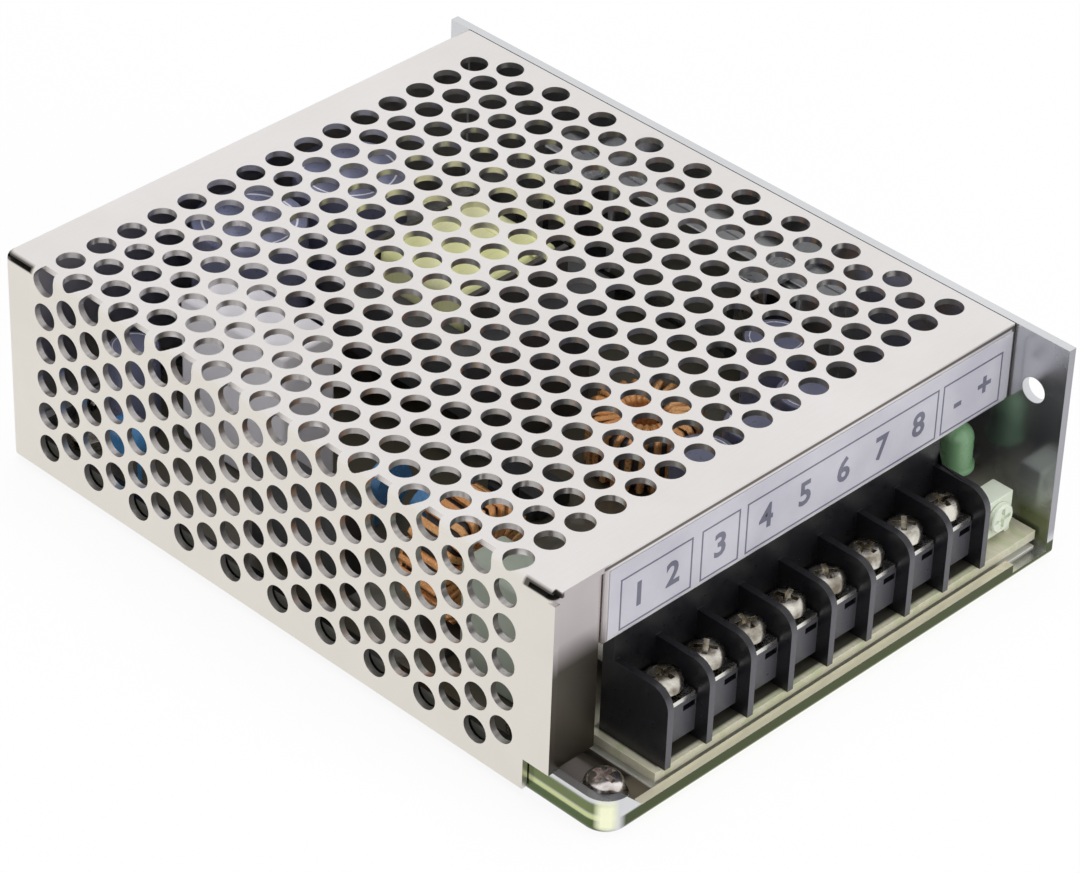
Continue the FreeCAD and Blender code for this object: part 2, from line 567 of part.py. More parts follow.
def make_terminal_screw(pole, x):
    """A pan head screw with a cross recess."""
    head = rod(f"screw_head_{pole}", (x, "screw_y", CLAMP_TOP), "screw_head_radius", "screw_head_height",
               flats=SMALL_FLATS)
    shank = rod(f"screw_shank_{pole}", (x, "screw_y", f"{CLAMP_TOP} - screw_length"), "screw_radius",
                "screw_length", flats=HOLE_FLATS)
    top = f"{CLAMP_TOP} + screw_head_height - screw_slot_depth"
    slots = [centred_block(f"screw_slot_{pole}_{turn}", (x, "screw_y", top), sides + ("screw_slot_depth",))
             for turn, sides in enumerate((("screw_slot_length", "screw_slot_width"),
                                           ("screw_slot_width", "screw_slot_length")))]
    keep(f"terminal_screw_{pole + 1}",
         cut(f"screw_{pole}", fuse(f"screw_blank_{pole}", head, shank), fuse(f"screw_cross_{pole}", *slots)))


# Ground screw in the front left corner, with a toothed and a plain washer under its head.
def make_ground_screw():
    spot = ("ground_x", "ground_y")
    clear = "ground_radius + thread_gap"
    washer = cut("washer_cut", rod("washer", (*spot, "chassis_sheet"), "ground_washer_radius",
                                   "ground_washer_thickness", flats=ROUND_FLATS),
                 bore("washer_bore", (*spot, "chassis_sheet"), clear, "ground_washer_thickness"))
    star_foot = "chassis_sheet + ground_washer_thickness"
    star = cut("star_cut", rod("star", (*spot, star_foot), "ground_star_radius", "ground_star_thickness",
                               flats=SMALL_FLATS),
               bore("star_bore", (*spot, star_foot), clear, "ground_star_thickness"))
    keep("ground_washers", group("ground_washer_group", washer, star))
    head_foot = f"{star_foot} + ground_star_thickness"
    head = rod("ground_head", (*spot, head_foot), "ground_head_radius", "ground_head_height",
               flats=ROUND_FLATS)
    shank = rod("ground_shank", (*spot, "0"), "ground_radius", head_foot, flats=SMALL_FLATS)
    top = f"{head_foot} + ground_head_height - screw_slot_depth"
    slots = [centred_block(f"ground_slot_{turn}", (*spot, top), sides + ("screw_slot_depth",))
             for turn, sides in enumerate((("screw_slot_length", "screw_slot_width"),
                                           ("screw_slot_width", "screw_slot_length")))]
    blank = fuse("ground_blank", head, shank)
    keep("ground_screw", cut("ground_screw_cut", blank, fuse("ground_cross", *slots)))


# Screws that hold the cover's rear flange to the chassis's rear lip.
def make_cover_screws():
    screws = []
    for number, sign in enumerate((1, -1)):
        spot = (f"{sign} * cover_screw_x", COVER_REAR, "cover_screw_z")
        head = rod(f"cover_head_{number}", spot, "cover_screw_head_radius", "cover_screw_head_height", "y",
                   flats=SMALL_FLATS)
        shank = rod(f"cover_shank_{number}", (spot[0], f"{COVER_REAR} - cover_screw_length", spot[2]),
                    "cover_screw_radius", "cover_screw_length", "y", flats=SMALL_FLATS)
        screws.append(fuse(f"cover_screw_{number}", head, shank))
    keep("cover_screws", group("cover_screw_group", *screws))


def legs(name, x, y, pitch, height, axis="x", radius="lead_radius"):
    """Two round leads that stand on the board."""
    feet = []
    for number, sign in enumerate((1, -1)):
        shift = f"{sign} * ({pitch}) / 2"
        spot = (f"{x} + {shift}", y) if axis == "x" else (x, f"{y} + {shift}")
        feet.append(rod(f"{name}_lead_{number}", (*spot, BOARD_TOP), radius, height, flats=HOLE_FLATS))
    return feet


def disc(name, x, y, radius, thickness, lift, pitch, facing="x"):
    """A dipped disc that stands on two leads, its faces along one axis."""
    foot = [x, y, f"{BOARD_TOP} + {lift} + {radius}"]
    index = "xy".index(facing)
    foot[index] = f"{foot[index]} - ({thickness}) / 2"
    coin = rod(f"{name}_coin", foot, radius, thickness, facing, flats=ROUND_FLATS)
    across = "y" if facing == "x" else "x"
    return fuse(name, coin, *legs(name, x, y, pitch, f"{lift} + {radius}", across))


# Mains side: fuse, varistor, thermistor, filter parts, bridge and the large capacitor.
def make_mains_parts():
    height = f"({BOARD_TOP} + fuse_lift + fuse_cap_radius)"
    tube = rod("fuse_tube", ("fuse_x", "fuse_y - fuse_length / 2", height), "fuse_radius", "fuse_length",
               "y", flats=SMALL_FLATS)
    caps = []
    for number, sign in enumerate((1, -1)):
        middle = f"(fuse_y + {sign} * (fuse_length - fuse_cap_length) / 2)"
        ring = rod(f"fuse_ring_{number}", ("fuse_x", f"{middle} - fuse_cap_length / 2", height),
                   "fuse_cap_radius", "fuse_cap_length", "y", flats=SMALL_FLATS)
        foot = centred_block(f"fuse_foot_{number}", ("fuse_x", middle, BOARD_TOP),
                             ("fuse_radius", "fuse_cap_length / 2", "fuse_lift + fuse_cap_radius"))
        caps.extend((ring, foot))
    keep("fuse", fuse("fuse_whole", tube, *caps))
    for node in ("varistor", "thermistor"):
        keep(node, disc(f"{node}_disc", f"{node}_x", f"{node}_y", f"{node}_radius", f"{node}_thickness",
                        "disc_lift", "lead_pitch", "y"))
    keep("filter_capacitor", centred_block("filter_box", ("filter_box_x", "filter_box_y", BOARD_TOP),
                                           ("filter_box_width", "filter_box_length", "filter_box_height")))
    line_height = f"({CEILING} - line_box_clearance - {BOARD_TOP})"
    keep("line_capacitor", centred_block("line_box", ("line_box_x", "line_box_y", BOARD_TOP),
                                         ("line_box_width", "line_box_length", line_height)))
    case = centred_block("bridge_case", ("bridge_x", "bridge_y", f"{BOARD_TOP} + bridge_lift"),
                         ("bridge_width", "bridge_length", "bridge_height"))
    leads = []
    for label, pitch in (("outer", "bridge_length - bridge_width"), ("inner", "lead_pitch")):
        leads.extend(legs(f"bridge_{label}", "bridge_x", "bridge_y", pitch, "bridge_lift", "y"))
    keep("bridge_rectifier", fuse("bridge_whole", case, *leads))
    bulk_height = f"({CEILING} - bulk_clearance - {BOARD_TOP})"
    for number in range(2):
        x = f"(bulk_x + {number} * bulk_pitch)"
        keep(f"bulk_capacitor_{number + 1}",
             capacitor(f"bulk_{number}", x, "bulk_y", "bulk_radius", bulk_height))
    keep("bias_capacitor",
         capacitor("bias", "bias_cap_x", "bias_cap_y", "bias_cap_radius", "bias_cap_height"))
    y_caps = [disc(f"y_cap_{number}", "y_cap_x", f"(y_cap_y + {number} * y_cap_pitch)", "y_cap_radius",
                   "y_cap_thickness", "disc_lift", "lead_pitch", "y") for number in range(2)]
    side_cap = disc("y_cap_side", "side_cap_x", "side_cap_y",
                    "y_cap_radius", "y_cap_thickness", "disc_lift", "lead_pitch", "x")
    keep("y_capacitors", group("y_cap_group", *y_caps, side_cap))


def capacitor(name, x, y, radius, height):
    """A sleeved can with a dished top."""
    can = rod(f"{name}_can", (x, y, BOARD_TOP), radius, height, flats=ROUND_FLATS)
    dish = rod(f"{name}_dish", (x, y, f"{BOARD_TOP} + {height} - can_dish"), f"{radius} - can_rim",
               "can_dish", flats=ROUND_FLATS)
    return cut(f"{name}_cut", can, dish)


def wound_ring(name, x, y, z, outer, inner, width, wire, axis):
    """A ring core and the band of wire wound round it."""
    turn = "xyz".index(axis)

    def ring(label, grow):
        foot = [x, y, z]
        foot[turn] = f"{foot[turn]} - ({width}) / 2 - {grow}"
        length = f"{width} + 2 * ({grow})"
        whole = rod(f"{name}_{label}", foot, f"{outer} + {grow}", length, axis, ROUND_FLATS)
        eye = rod(f"{name}_{label}_eye", foot, f"{inner} - {grow}", length, axis, ROUND_FLATS)
        return cut(f"{name}_{label}_ring", whole, eye)

    core = ring("core", "0")
    wire_band = cut(f"{name}_band", ring("wire", wire), ring("inner", "0"))
    return core, wire_band


# Filter choke: an upright wound ring on a small base.
def make_choke():
    middle = f"({BOARD_TOP} + choke_base_height + choke_outer_radius + choke_wire)"
    core, wire = wound_ring("choke", "choke_x", "choke_y", middle, "choke_outer_radius",
                            "choke_inner_radius", "choke_width", "choke_wire", "y")
    base = centred_block("choke_plinth", ("choke_x", "choke_y", BOARD_TOP),
                         ("choke_base_length", "choke_base_width", "choke_base_height"))
    keep("choke_core", core)
    keep("choke_winding", wire)
    keep("choke_base", base)


# Transformer: a core round a bobbin that carries the taped winding. Its height follows the case.
def make_transformer():
    x, y = "transformer_x", "transformer_y"
    coil_foot = f"({BOARD_TOP} + winding_lift)"
    coil_height = f"({CEILING} - transformer_clearance - {coil_foot})"
    foot = f"({coil_foot} + winding_wall)"
    core_height = f"({coil_height} - 2 * winding_wall)"
    whole = centred_block("core_whole", (x, y, foot), ("core_width", "core_length", core_height))
    window = "(core_width - 2 * core_leg - core_centre_leg) / 2"
    windows = [centred_block(f"core_window_{number}",
                             (f"{x} + {sign} * (core_centre_leg + {window}) / 2", y, foot),
                             (window, "core_length - 2 * core_leg", core_height))
               for number, sign in enumerate((1, -1))]
    keep("transformer_core", cut("core_cut", whole, *windows))
    length = "(core_length - 2 * core_leg - 2 * winding_gap)"
    reach = "(core_centre_leg + 2 * winding_wall)"
    hole_foot = f"({foot} - winding_gap)"
    hole_width, hole_height = "core_centre_leg + 2 * winding_gap", f"{core_height} + 2 * winding_gap"
    coil_length = f"({length} - 2 * bobbin_flange)"
    coil = centred_block("coil_block", (x, y, coil_foot), (reach, coil_length, coil_height))
    coil_round = doc.addObject("Part::Fillet", "coil_round")
    coil_round.Base = coil
    doc.recompute()
    corners = [int(name[4:]) for name in edges_at(coil.Shape, "y")]
    coil_round.Edges = [(number, size("winding_corner"), size("winding_corner")) for number in corners]
    eye = centred_block("coil_eye", (x, y, hole_foot), (hole_width, coil_length, hole_height))
    keep("transformer_winding", cut("coil_cut", coil_round, eye))
    ends = []
    for number, sign in enumerate((1, -1)):
        cheek_y = f"{y} + {sign} * ({length} - bobbin_flange) / 2"
        cheek = centred_block(f"cheek_{number}", (x, cheek_y, coil_foot),
                              (reach, "bobbin_flange", coil_height))
        hole = centred_block(f"cheek_hole_{number}", (x, cheek_y, hole_foot),
                             (hole_width, "bobbin_flange", hole_height))
        depth = f"(core_length / 2 - {length} / 2 + bobbin_flange)"
        rail = centred_block(f"bobbin_rail_{number}",
                             (x, f"{y} + {sign} * (core_length - {depth}) / 2", BOARD_TOP),
                             ("core_width - 2 * core_leg", depth, f"{foot} - {BOARD_TOP}"))
        ends.append(fuse(f"bobbin_end_{number}", cut(f"cheek_cut_{number}", cheek, hole), rail))
    keep("transformer_bobbin", group("bobbin_group", *ends))


# Power packages: each stands on its leads, pressed by a spring clip against a bar on the chassis wall.
def make_power_parts():
    bar_face = f"({WALL_X} - bar_thickness)"
    bar_top = f"({BOARD_TOP} + bar_lift + bar_height)"
    keep("heat_bar", block("bar", (bar_face, "bar_y - bar_length / 2", f"{BOARD_TOP} + bar_lift"),
                           ("bar_thickness", "bar_length", "bar_height")))
    pack_back = f"({bar_face} - pad_thickness)"
    pack_front = f"({pack_back} - pack_thickness)"
    pack_foot = f"({BOARD_TOP} + pack_lift)"
    pads, clips = [], []
    for node, y in (("power_transistor", "transistor_y"), ("output_rectifier", "rectifier_y")):
        case = block(f"{node}_case", (pack_front, f"{y} - pack_width / 2", pack_foot),
                     ("pack_thickness", "pack_width", "pack_height"))
        step = block(f"{node}_step",
                     (pack_front, f"{y} - pack_width / 2", f"{pack_foot} + pack_height - pack_tab"),
                     ("pack_thickness - pack_tab_thickness", "pack_width", "pack_tab"))
        leads = [block(f"{node}_lead_{number}",
                       (f"{pack_back} - pack_thickness / 2",
                        f"{y} + {number} * pack_lead_pitch - pack_lead_width / 2", BOARD_TOP),
                       ("pack_lead_width / 2", "pack_lead_width", "pack_lift"))
                 for number in (-1, 0, 1)]
        keep(node, fuse(f"{node}_whole", cut(f"{node}_body", case, step), *leads))
        pads.append(block(f"{node}_pad",
                          (pack_back, f"{y} - pack_width / 2 - pad_margin", f"{pack_foot} - pad_margin"),
                          ("pad_thickness", "pack_width + 2 * pad_margin", "pack_height + pad_margin")))
        reach = "(bar_thickness + pad_thickness + pack_thickness + clip_thickness)"
        top = block(f"{node}_clip_top", (f"{WALL_X} - {reach}", f"{y} - clip_width / 2", bar_top),
                    (reach, "clip_width", "clip_thickness"))
        press = block(f"{node}_clip_press",
                      (f"{WALL_X} - {reach}", f"{y} - clip_width / 2", f"{bar_top} - clip_drop"),
                      ("clip_thickness", "clip_width", "clip_drop"))
        clips.append(fuse(f"{node}_clip", top, press))
    keep("thermal_pads", group("pad_group", *pads))
    keep("spring_clips", group("clip_group", *clips))


# Output side: inductor, smoothing capacitors, couplers, indicator lamp and trimmer.
def make_output_parts():
    core, wire = wound_ring("inductor", "inductor_x", "inductor_y",
                            f"({BOARD_TOP} + inductor_wire + inductor_height / 2)", "inductor_outer_radius",
                            "inductor_inner_radius", "inductor_height", "inductor_wire", "z")
    keep("output_inductor_core", core)
    keep("output_inductor_winding", wire)
    cans = [capacitor(f"output_cap_{number}", f"(output_cap_x + {number} * output_cap_pitch)",
                      "output_cap_y", "output_cap_radius", "output_cap_height") for number in range(3)]
    cans.append(capacitor("output_cap_side", "output_cap_side_x", "output_cap_side_y", "output_cap_radius",
                          "output_cap_height"))
    keep("output_capacitors", group("output_cap_group", *cans))
    couplers = []
    for number in range(2):
        y = f"(coupler_y + {number} * coupler_pitch)"
        case = centred_block(f"coupler_case_{number}", ("coupler_x", y, f"{BOARD_TOP} + coupler_lift"),
                             ("coupler_width", "coupler_length", "coupler_height"))
        feet = [centred_block(f"coupler_feet_{number}_{side}",
                              (f"coupler_x + {side} * (coupler_width / 2 + coupler_foot / 2)", y, BOARD_TOP),
                              ("coupler_foot", "coupler_foot_length", "coupler_height / 2 + coupler_lift"))
                for side in (-1, 1)]
        couplers.append(fuse(f"coupler_{number}", case, *feet))
    keep("optocouplers", group("coupler_group", *couplers))
    lamp_foot = f"({BOARD_TOP} + led_lift)"
    lens = rod("led_lens", ("led_x", "led_y", lamp_foot), "led_radius", "led_height - led_crown_height",
               flats=ROUND_FLATS)
    rim = rod("led_rim", ("led_x", "led_y", lamp_foot), "led_rim_radius", "led_rim_height",
              flats=ROUND_FLATS)
    crown = rod("led_crown", ("led_x", "led_y", f"{lamp_foot} + led_height - led_crown_height"),
                "led_crown_radius", "led_crown_height", flats=ROUND_FLATS)
    leads = legs("led", "led_x", "led_y", "led_lead_pitch", "led_lift", radius="led_lead_radius")
    keep("green_led", fuse("led_whole", lens, rim, crown, *leads))


# Trimmer: a fixed body and a rotor with a cross slot, its shaft along Y.
def make_trimmer():
    axis_z = f"({BOARD_TOP} + rotor_axis_height)"
    front = "(trimmer_y - trimmer_depth / 2)"
    box = centred_block("trimmer_box", ("trimmer_x", "trimmer_y", BOARD_TOP),
                        ("trimmer_width", "trimmer_depth", "trimmer_height"))
    hole = bore("trimmer_bore", ("trimmer_x", front, axis_z), "shaft_radius + rotor_clearance",
                "trimmer_depth", "y")
    keep("trimmer_body", cut("trimmer_cut", box, hole))
    disc_front = f"({front} - rotor_clearance - rotor_depth)"
    face = rod("rotor_face", ("trimmer_x", disc_front, axis_z), "rotor_radius", "rotor_depth", "y",
               flats=ROUND_FLATS)
    shaft = rod("rotor_shaft", ("trimmer_x", disc_front, axis_z), "shaft_radius",
                "rotor_depth + rotor_clearance + trimmer_depth", "y", flats=SMALL_FLATS)
    slots = [block(f"rotor_slot_{turn}",
                   (f"trimmer_x - {wide} / 2", disc_front, f"{axis_z} - {tall} / 2"),
                   (wide, "rotor_slot_depth", tall))
             for turn, (wide, tall) in enumerate((("rotor_slot", "rotor_slot_length"),
                                                  ("rotor_slot_length", "rotor_slot")))]
    keep("trimmer_rotor", cut("rotor_cut", fuse("rotor_blank", face, shaft), fuse("rotor_cross", *slots)))


def check_objects():
    """Stop when a feature has failed or a sub-part is empty."""
    for thing in doc.Objects:
        if {"Invalid", "Error"} & set(thing.State):
            raise RuntimeError(f"{thing.Name} failed: {thing.State}")
    for node, thing in parts.items():
        if thing.Shape.isNull() or not thing.Shape.isValid():
            raise RuntimeError(f"{node} has no valid shape")


make_chassis()
make_cover()
make_board()
make_terminal_block()
make_ground_screw()
make_cover_screws()
make_mains_parts()
make_choke()
make_transformer()
make_power_parts()
make_output_parts()
make_trimmer()
doc.recompute()
check_objects()
os.makedirs("parts", exist_ok=True)
for node, thing in parts.items():
    thing.Shape.exportStep(f"parts/{node}.step")
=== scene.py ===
"""Looks of an enclosed power supply: its folded sheets, terminals, label and the parts on its board."""

import json
import logging
import math
from contextlib import contextmanager
from dataclasses import dataclass, field
from enum import Enum
from typing import Any, Callable, Iterable, Iterator, Optional, Sequence, Union

import bmesh
import bpy
from mathutils import Matrix, Vector

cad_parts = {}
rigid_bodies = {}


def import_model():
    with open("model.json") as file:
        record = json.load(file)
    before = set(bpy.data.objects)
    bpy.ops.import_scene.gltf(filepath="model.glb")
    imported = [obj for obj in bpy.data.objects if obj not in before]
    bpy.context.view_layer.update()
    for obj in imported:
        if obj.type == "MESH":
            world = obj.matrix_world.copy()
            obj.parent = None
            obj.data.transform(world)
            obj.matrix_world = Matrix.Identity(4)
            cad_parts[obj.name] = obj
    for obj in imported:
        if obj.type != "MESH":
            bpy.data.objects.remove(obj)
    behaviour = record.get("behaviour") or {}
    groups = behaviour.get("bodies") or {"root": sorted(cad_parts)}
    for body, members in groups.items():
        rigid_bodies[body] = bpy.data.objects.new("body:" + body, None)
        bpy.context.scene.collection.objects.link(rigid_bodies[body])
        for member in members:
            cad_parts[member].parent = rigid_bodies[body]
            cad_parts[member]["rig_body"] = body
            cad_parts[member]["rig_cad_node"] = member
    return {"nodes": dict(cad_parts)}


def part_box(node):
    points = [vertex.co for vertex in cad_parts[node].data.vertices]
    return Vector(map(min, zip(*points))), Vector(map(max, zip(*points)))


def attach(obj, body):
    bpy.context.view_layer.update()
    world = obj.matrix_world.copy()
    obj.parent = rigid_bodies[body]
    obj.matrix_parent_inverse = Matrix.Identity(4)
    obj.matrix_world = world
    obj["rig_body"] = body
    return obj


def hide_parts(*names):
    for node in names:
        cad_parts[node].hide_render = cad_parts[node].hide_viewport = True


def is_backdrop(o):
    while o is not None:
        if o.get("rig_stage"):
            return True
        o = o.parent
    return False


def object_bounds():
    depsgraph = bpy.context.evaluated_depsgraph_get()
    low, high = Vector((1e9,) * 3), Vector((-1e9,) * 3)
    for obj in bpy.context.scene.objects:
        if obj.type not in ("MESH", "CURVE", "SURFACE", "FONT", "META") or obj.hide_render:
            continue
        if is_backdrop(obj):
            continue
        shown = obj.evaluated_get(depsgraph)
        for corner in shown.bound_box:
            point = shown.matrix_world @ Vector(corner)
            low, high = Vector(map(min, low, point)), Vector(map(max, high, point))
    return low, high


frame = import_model()
MODEL_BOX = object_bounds()

LOG = logging.getLogger("supply")
MM = 0.001
WELD_GAP = 0.0005
FACET_GAP = 0.001
FLAT_WITHIN = 1.0
WIDE_FACE_WEIGHT = 60
WIRE_ANGLE = 60.0
UNION = "UNION"

Pair = tuple[float, float]
Point = tuple[float, float, float]
Colour = tuple[float, float, float]
Piece = bpy.types.Object
Socket = bpy.types.NodeSocket
Value = Union[Socket, float, Sequence[float]]

LEFTWARD: Point = (-1.0, 0.0, 0.0)
FORWARD: Point = (0.0, -1.0, 0.0)
UPWARD: Point = (0.0, 0.0, 1.0)
TO_THE_CORNER: Point = (-0.707, -0.707, 0.0)
EVERY_WAY: Point = (0.0, 0.0, 0.0)


class Axis(Enum):
    """The way that a turned shape points: the turn from +Z, and what it is about."""

    X = (math.pi / 2, "Y")
    Y = (-math.pi / 2, "X")
    Z = (0.0, "Z")

    def turn(self) -> Matrix:
        """Return the turn that takes +Z to this axis."""
        angle, about = self.value
        return Matrix.Rotation(angle, 4, about)


# Shaping tools. All lengths handed to them are millimetres.


def only(piece: Piece) -> None:
    """Select one object and nothing else.

    Args:
        piece: The object.
    """
    bpy.ops.object.select_all(action="DESELECT")
    piece.select_set(True)
    bpy.context.view_layer.objects.active = piece


@contextmanager
def editing(piece: Piece, mode: str = "FACE") -> Iterator[None]:
    """Open a piece in edit mode with nothing selected.

    Args:
        piece: The object.
        mode: What is selected in it: VERT, EDGE or FACE.

    Yields:
        Nothing; the mode is left when the block ends.
    """
    only(piece)
    bpy.ops.object.mode_set(mode="EDIT")
    bpy.ops.mesh.select_mode(type=mode)
    bpy.ops.mesh.select_all(action="DESELECT")
    try:
        yield
    finally:
        bpy.ops.object.mode_set(mode="OBJECT")


def pick_faces(piece: Piece, test: Callable[[bmesh.types.BMFace], bool]) -> None:
    """Select the faces that pass a test, in edit mode.

    Args:
        piece: The object.
        test: Says whether a face is wanted.
    """
    mesh = bmesh.from_edit_mesh(piece.data)
    for face in mesh.faces:
        face.select_set(test(face))
    bmesh.update_edit_mesh(piece.data)


def pick_edges(piece: Piece, test: Callable[[Vector, Vector], bool]) -> None:
    """Select the edges whose two ends, in millimetres, pass a test, in edit mode.

    Args:
        piece: The object.
        test: Says whether an edge between two points is wanted.
    """
    mesh = bmesh.from_edit_mesh(piece.data)
    mesh.select_mode = {"EDGE"}
    for edge in mesh.edges:
        edge.select_set(test(edge.verts[0].co / MM, edge.verts[1].co / MM))
    bmesh.update_edit_mesh(piece.data)


def bake(piece: Piece) -> Piece:
    """Put an object's place into its mesh.

    Args:
        piece: The object.

    Returns:
        The same object.
    """
    only(piece)
    bpy.ops.object.transform_apply(location=True, rotation=True, scale=True)
    return piece


def apply_modifier(piece: Piece, kind: str, **settings: Any) -> Piece:
    """Add a modifier, set it up and apply it.

    Args:
        piece: The object to change.
        kind: The modifier's type.
        settings: The modifier's own properties.

    Returns:
        The same object.
    """
    only(piece)
    modifier = piece.modifiers.new(kind.lower(), kind)
    for name, value in settings.items():
        setattr(modifier, name, value)
    bpy.ops.object.modifier_apply(modifier=modifier.name)
    return piece


def soften(piece: Piece, width: float, segments: int = 2, angle: float = 35.0) -> Piece:
    """Bevel the edges sharper than an angle."""
    return apply_modifier(piece, "BEVEL", width=width * MM, segments=segments, limit_method="ANGLE",
                          angle_limit=math.radians(angle), use_clamp_overlap=True)


def smooth(piece: Piece, angle: float = 38.0) -> Piece:
    """Shade a piece smooth except at edges sharper than an angle, with its wide faces left flat.

    Args:
        piece: The object.
        angle: The angle, in degrees.

    Returns:
        The same object.
    """
    only(piece)
    bpy.ops.object.shade_smooth_by_angle(angle=math.radians(angle))
    return apply_modifier(piece, "WEIGHTED_NORMAL", keep_sharp=True, weight=WIDE_FACE_WEIGHT)


def face_outwards(piece: Piece) -> Piece:
    """Merge doubles and turn every face outwards.

    Args:
        piece: The object.

    Returns:
        The same object.
    """
    with editing(piece):
        bpy.ops.mesh.select_all(action="SELECT")
        bpy.ops.mesh.remove_doubles(threshold=WELD_GAP * MM)
        bpy.ops.mesh.normals_make_consistent(inside=False)
    return piece


def block(name: str, low: Point, high: Point) -> Piece:
    """Add a box between two corners.

    Args:
        name: The object's name.
        low: The lowest corner.
        high: The highest corner.

    Returns:
        The box, its place in its mesh.
    """
    middle = [(a + b) / 2 * MM for a, b in zip(low, high)]
    bpy.ops.object.select_all(action="DESELECT")
    bpy.ops.mesh.primitive_cube_add(size=1, location=middle)
    box = bpy.context.object
    box.name = name
    box.scale = [(b - a) * MM for a, b in zip(low, high)]
    return bake(box)


def turned(name: str, foot: Point, profile: Sequence[Pair], sides: int = 32,
           axis: Axis = Axis.Z) -> Piece:
    """Draw a round piece up from its foot through rings of given radius and height.

    Args:
        name: The object's name.
        foot: The point on its axis from which heights count.
        profile: Pairs of radius and height, from the first cap to the last.
        sides: How many flats go round.
        axis: The way that it points.

    Returns:
        The closed piece, its place in its mesh.
    """
    bpy.ops.object.select_all(action="DESELECT")
    radius, height = profile[0]
    bpy.ops.mesh.primitive_circle_add(vertices=sides, radius=radius * MM, fill_type="NGON",
                                      location=(0, 0, height * MM))
    piece = bake(bpy.context.object)
    piece.name = name
    with editing(piece):
        bpy.ops.mesh.select_all(action="SELECT")
        for (r_from, z_from), (r_to, z_to) in zip(profile, profile[1:]):
            bpy.ops.mesh.extrude_region_move(TRANSFORM_OT_translate={"value": (0, 0, (z_to - z_from) * MM)})
            ratio = r_to / r_from
            bpy.ops.transform.resize(value=(ratio, ratio, 1))
    face_outwards(piece)
    piece.matrix_world = Matrix.Translation(Vector(foot) * MM) @ axis.turn()
    return bake(piece)


def traced(name: str, outline: Sequence[Point], depth: Point) -> Piece:
    """Trace a closed outline point by point, fill it and draw it out.

    Args:
        name: The object's name.
        outline: The corners in order.
        depth: The way and length that the outline is drawn.

    Returns:
        The closed piece.
    """
    bpy.ops.object.select_all(action="DESELECT")
    bpy.ops.mesh.primitive_plane_add(size=MM, location=(0, 0, 0))
    piece = bpy.context.object
    piece.name = name
    with editing(piece, "VERT"):
        bpy.ops.mesh.select_all(action="SELECT")
        bpy.ops.mesh.merge(type="CENTER")
        here = Vector((0, 0, 0))
        for number, corner in enumerate(outline):
            step = (Vector(corner) - here) * MM
            if number == 0:
                bpy.ops.transform.translate(value=step)
            else:
                bpy.ops.mesh.extrude_vertices_move(TRANSFORM_OT_translate={"value": step})
            here = Vector(corner)
        bpy.ops.mesh.select_all(action="SELECT")
        bpy.ops.mesh.edge_face_add()
        bpy.ops.mesh.extrude_region_move(TRANSFORM_OT_translate={"value": Vector(depth) * MM})
    return face_outwards(piece)


def arc(centre: Pair, radius: float, start: float, end: float, steps: int) -> list[Pair]:
    """Return points along an arc, its angles in degrees."""
    angles = [math.radians(start + (end - start) * i / steps) for i in range(steps + 1)]
    return [(centre[0] + radius * math.cos(a), centre[1] + radius * math.sin(a)) for a in angles]


def join(name: str, pieces: Iterable[Piece]) -> Piece:
    """Join several objects into one.

    Args:
        name: The joined object's name.
        pieces: The objects.

    Returns:
        The joined object.
    """
    parts = list(pieces)
    bpy.ops.object.select_all(action="DESELECT")
    for part in parts:
        part.select_set(True)
    bpy.context.view_layer.objects.active = parts[0]
    bpy.ops.object.join()
    parts[0].name = name
    return parts[0]


def carve(piece: Piece, tool: Piece, operation: str = "DIFFERENCE") -> Piece:
    """Cut a tool out of a piece, or weld it on, and throw the tool away.

    Args:
        piece: The object to change.
        tool: The object that is used up.
        operation: DIFFERENCE or UNION.

    Returns:
        The changed object.
    """
    apply_modifier(piece, "BOOLEAN", object=tool, operation=operation, solver="EXACT")
    bpy.data.objects.remove(tool)
    return piece


def copied(source: Piece, name: str, place: Matrix) -> Piece:
    """Copy a piece with a mesh of its own and move the copy.

    Args:
        source: The object to copy.
        name: The copy's name.
        place: The move, put into its mesh.

    Returns:
        The copy.
    """
    twin = source.copy()
    twin.data = source.data.copy()
    twin.name = name
    bpy.context.scene.collection.objects.link(twin)
    twin.data.transform(place)
    return twin


def shift(x: float = 0.0, y: float = 0.0, z: float = 0.0) -> Matrix:
    """Return a move in millimetres."""
    return Matrix.Translation(Vector((x, y, z)) * MM)


def wire(name: str, points: Sequence[Point], radius: float, sides: int = 2) -> Piece:
    """Draw a round wire along points and make it a mesh.

    Args:
        name: The object's name.
        points: The wire's middle line.
        radius: The wire's radius.
        sides: The bevel resolution, which gives 2 * sides + 4 flats.

    Returns:
        The wire's mesh object.
    """
    curve = bpy.data.curves.new(name, "CURVE")
    curve.dimensions = "3D"
    curve.bevel_depth = radius * MM
    curve.bevel_resolution = sides
    curve.use_fill_caps = True
    spline = curve.splines.new("POLY")
    spline.points.add(len(points) - 1)
    for knot, place in zip(spline.points, points):
        knot.co = (*(Vector(place) * MM), 1)
    line = bpy.data.objects.new(name, curve)
    bpy.context.scene.collection.objects.link(line)
    only(line)
    bpy.ops.object.convert(target="MESH")
    return smooth(bpy.context.object, WIRE_ANGLE)


def cross_tool(start: Point, end: Point, reach: float, half: float, axis: Axis = Axis.Z) -> Piece:
    """Cross two bars into a tool for a cross recess.

    Args:
        start: Where the recess begins on its middle line.
        end: Where it ends.
        reach: Half of each bar's length.
        half: Half of each bar's width.
        axis: The way that the recess looks, Z or Y.

    Returns:
        The tool.
    """
    bars = []
    for number, (a, b) in enumerate(((reach, half), (half, reach))):
        spread = (a, b, 0.0) if axis is Axis.Z else (a, 0.0, b)
        bars.append(block(f"cross_bar_{number}", [p - w for p, w in zip(start, spread)],
                          [p + w for p, w in zip(end, spread)]))
    return carve(bars[0], bars[1], UNION)


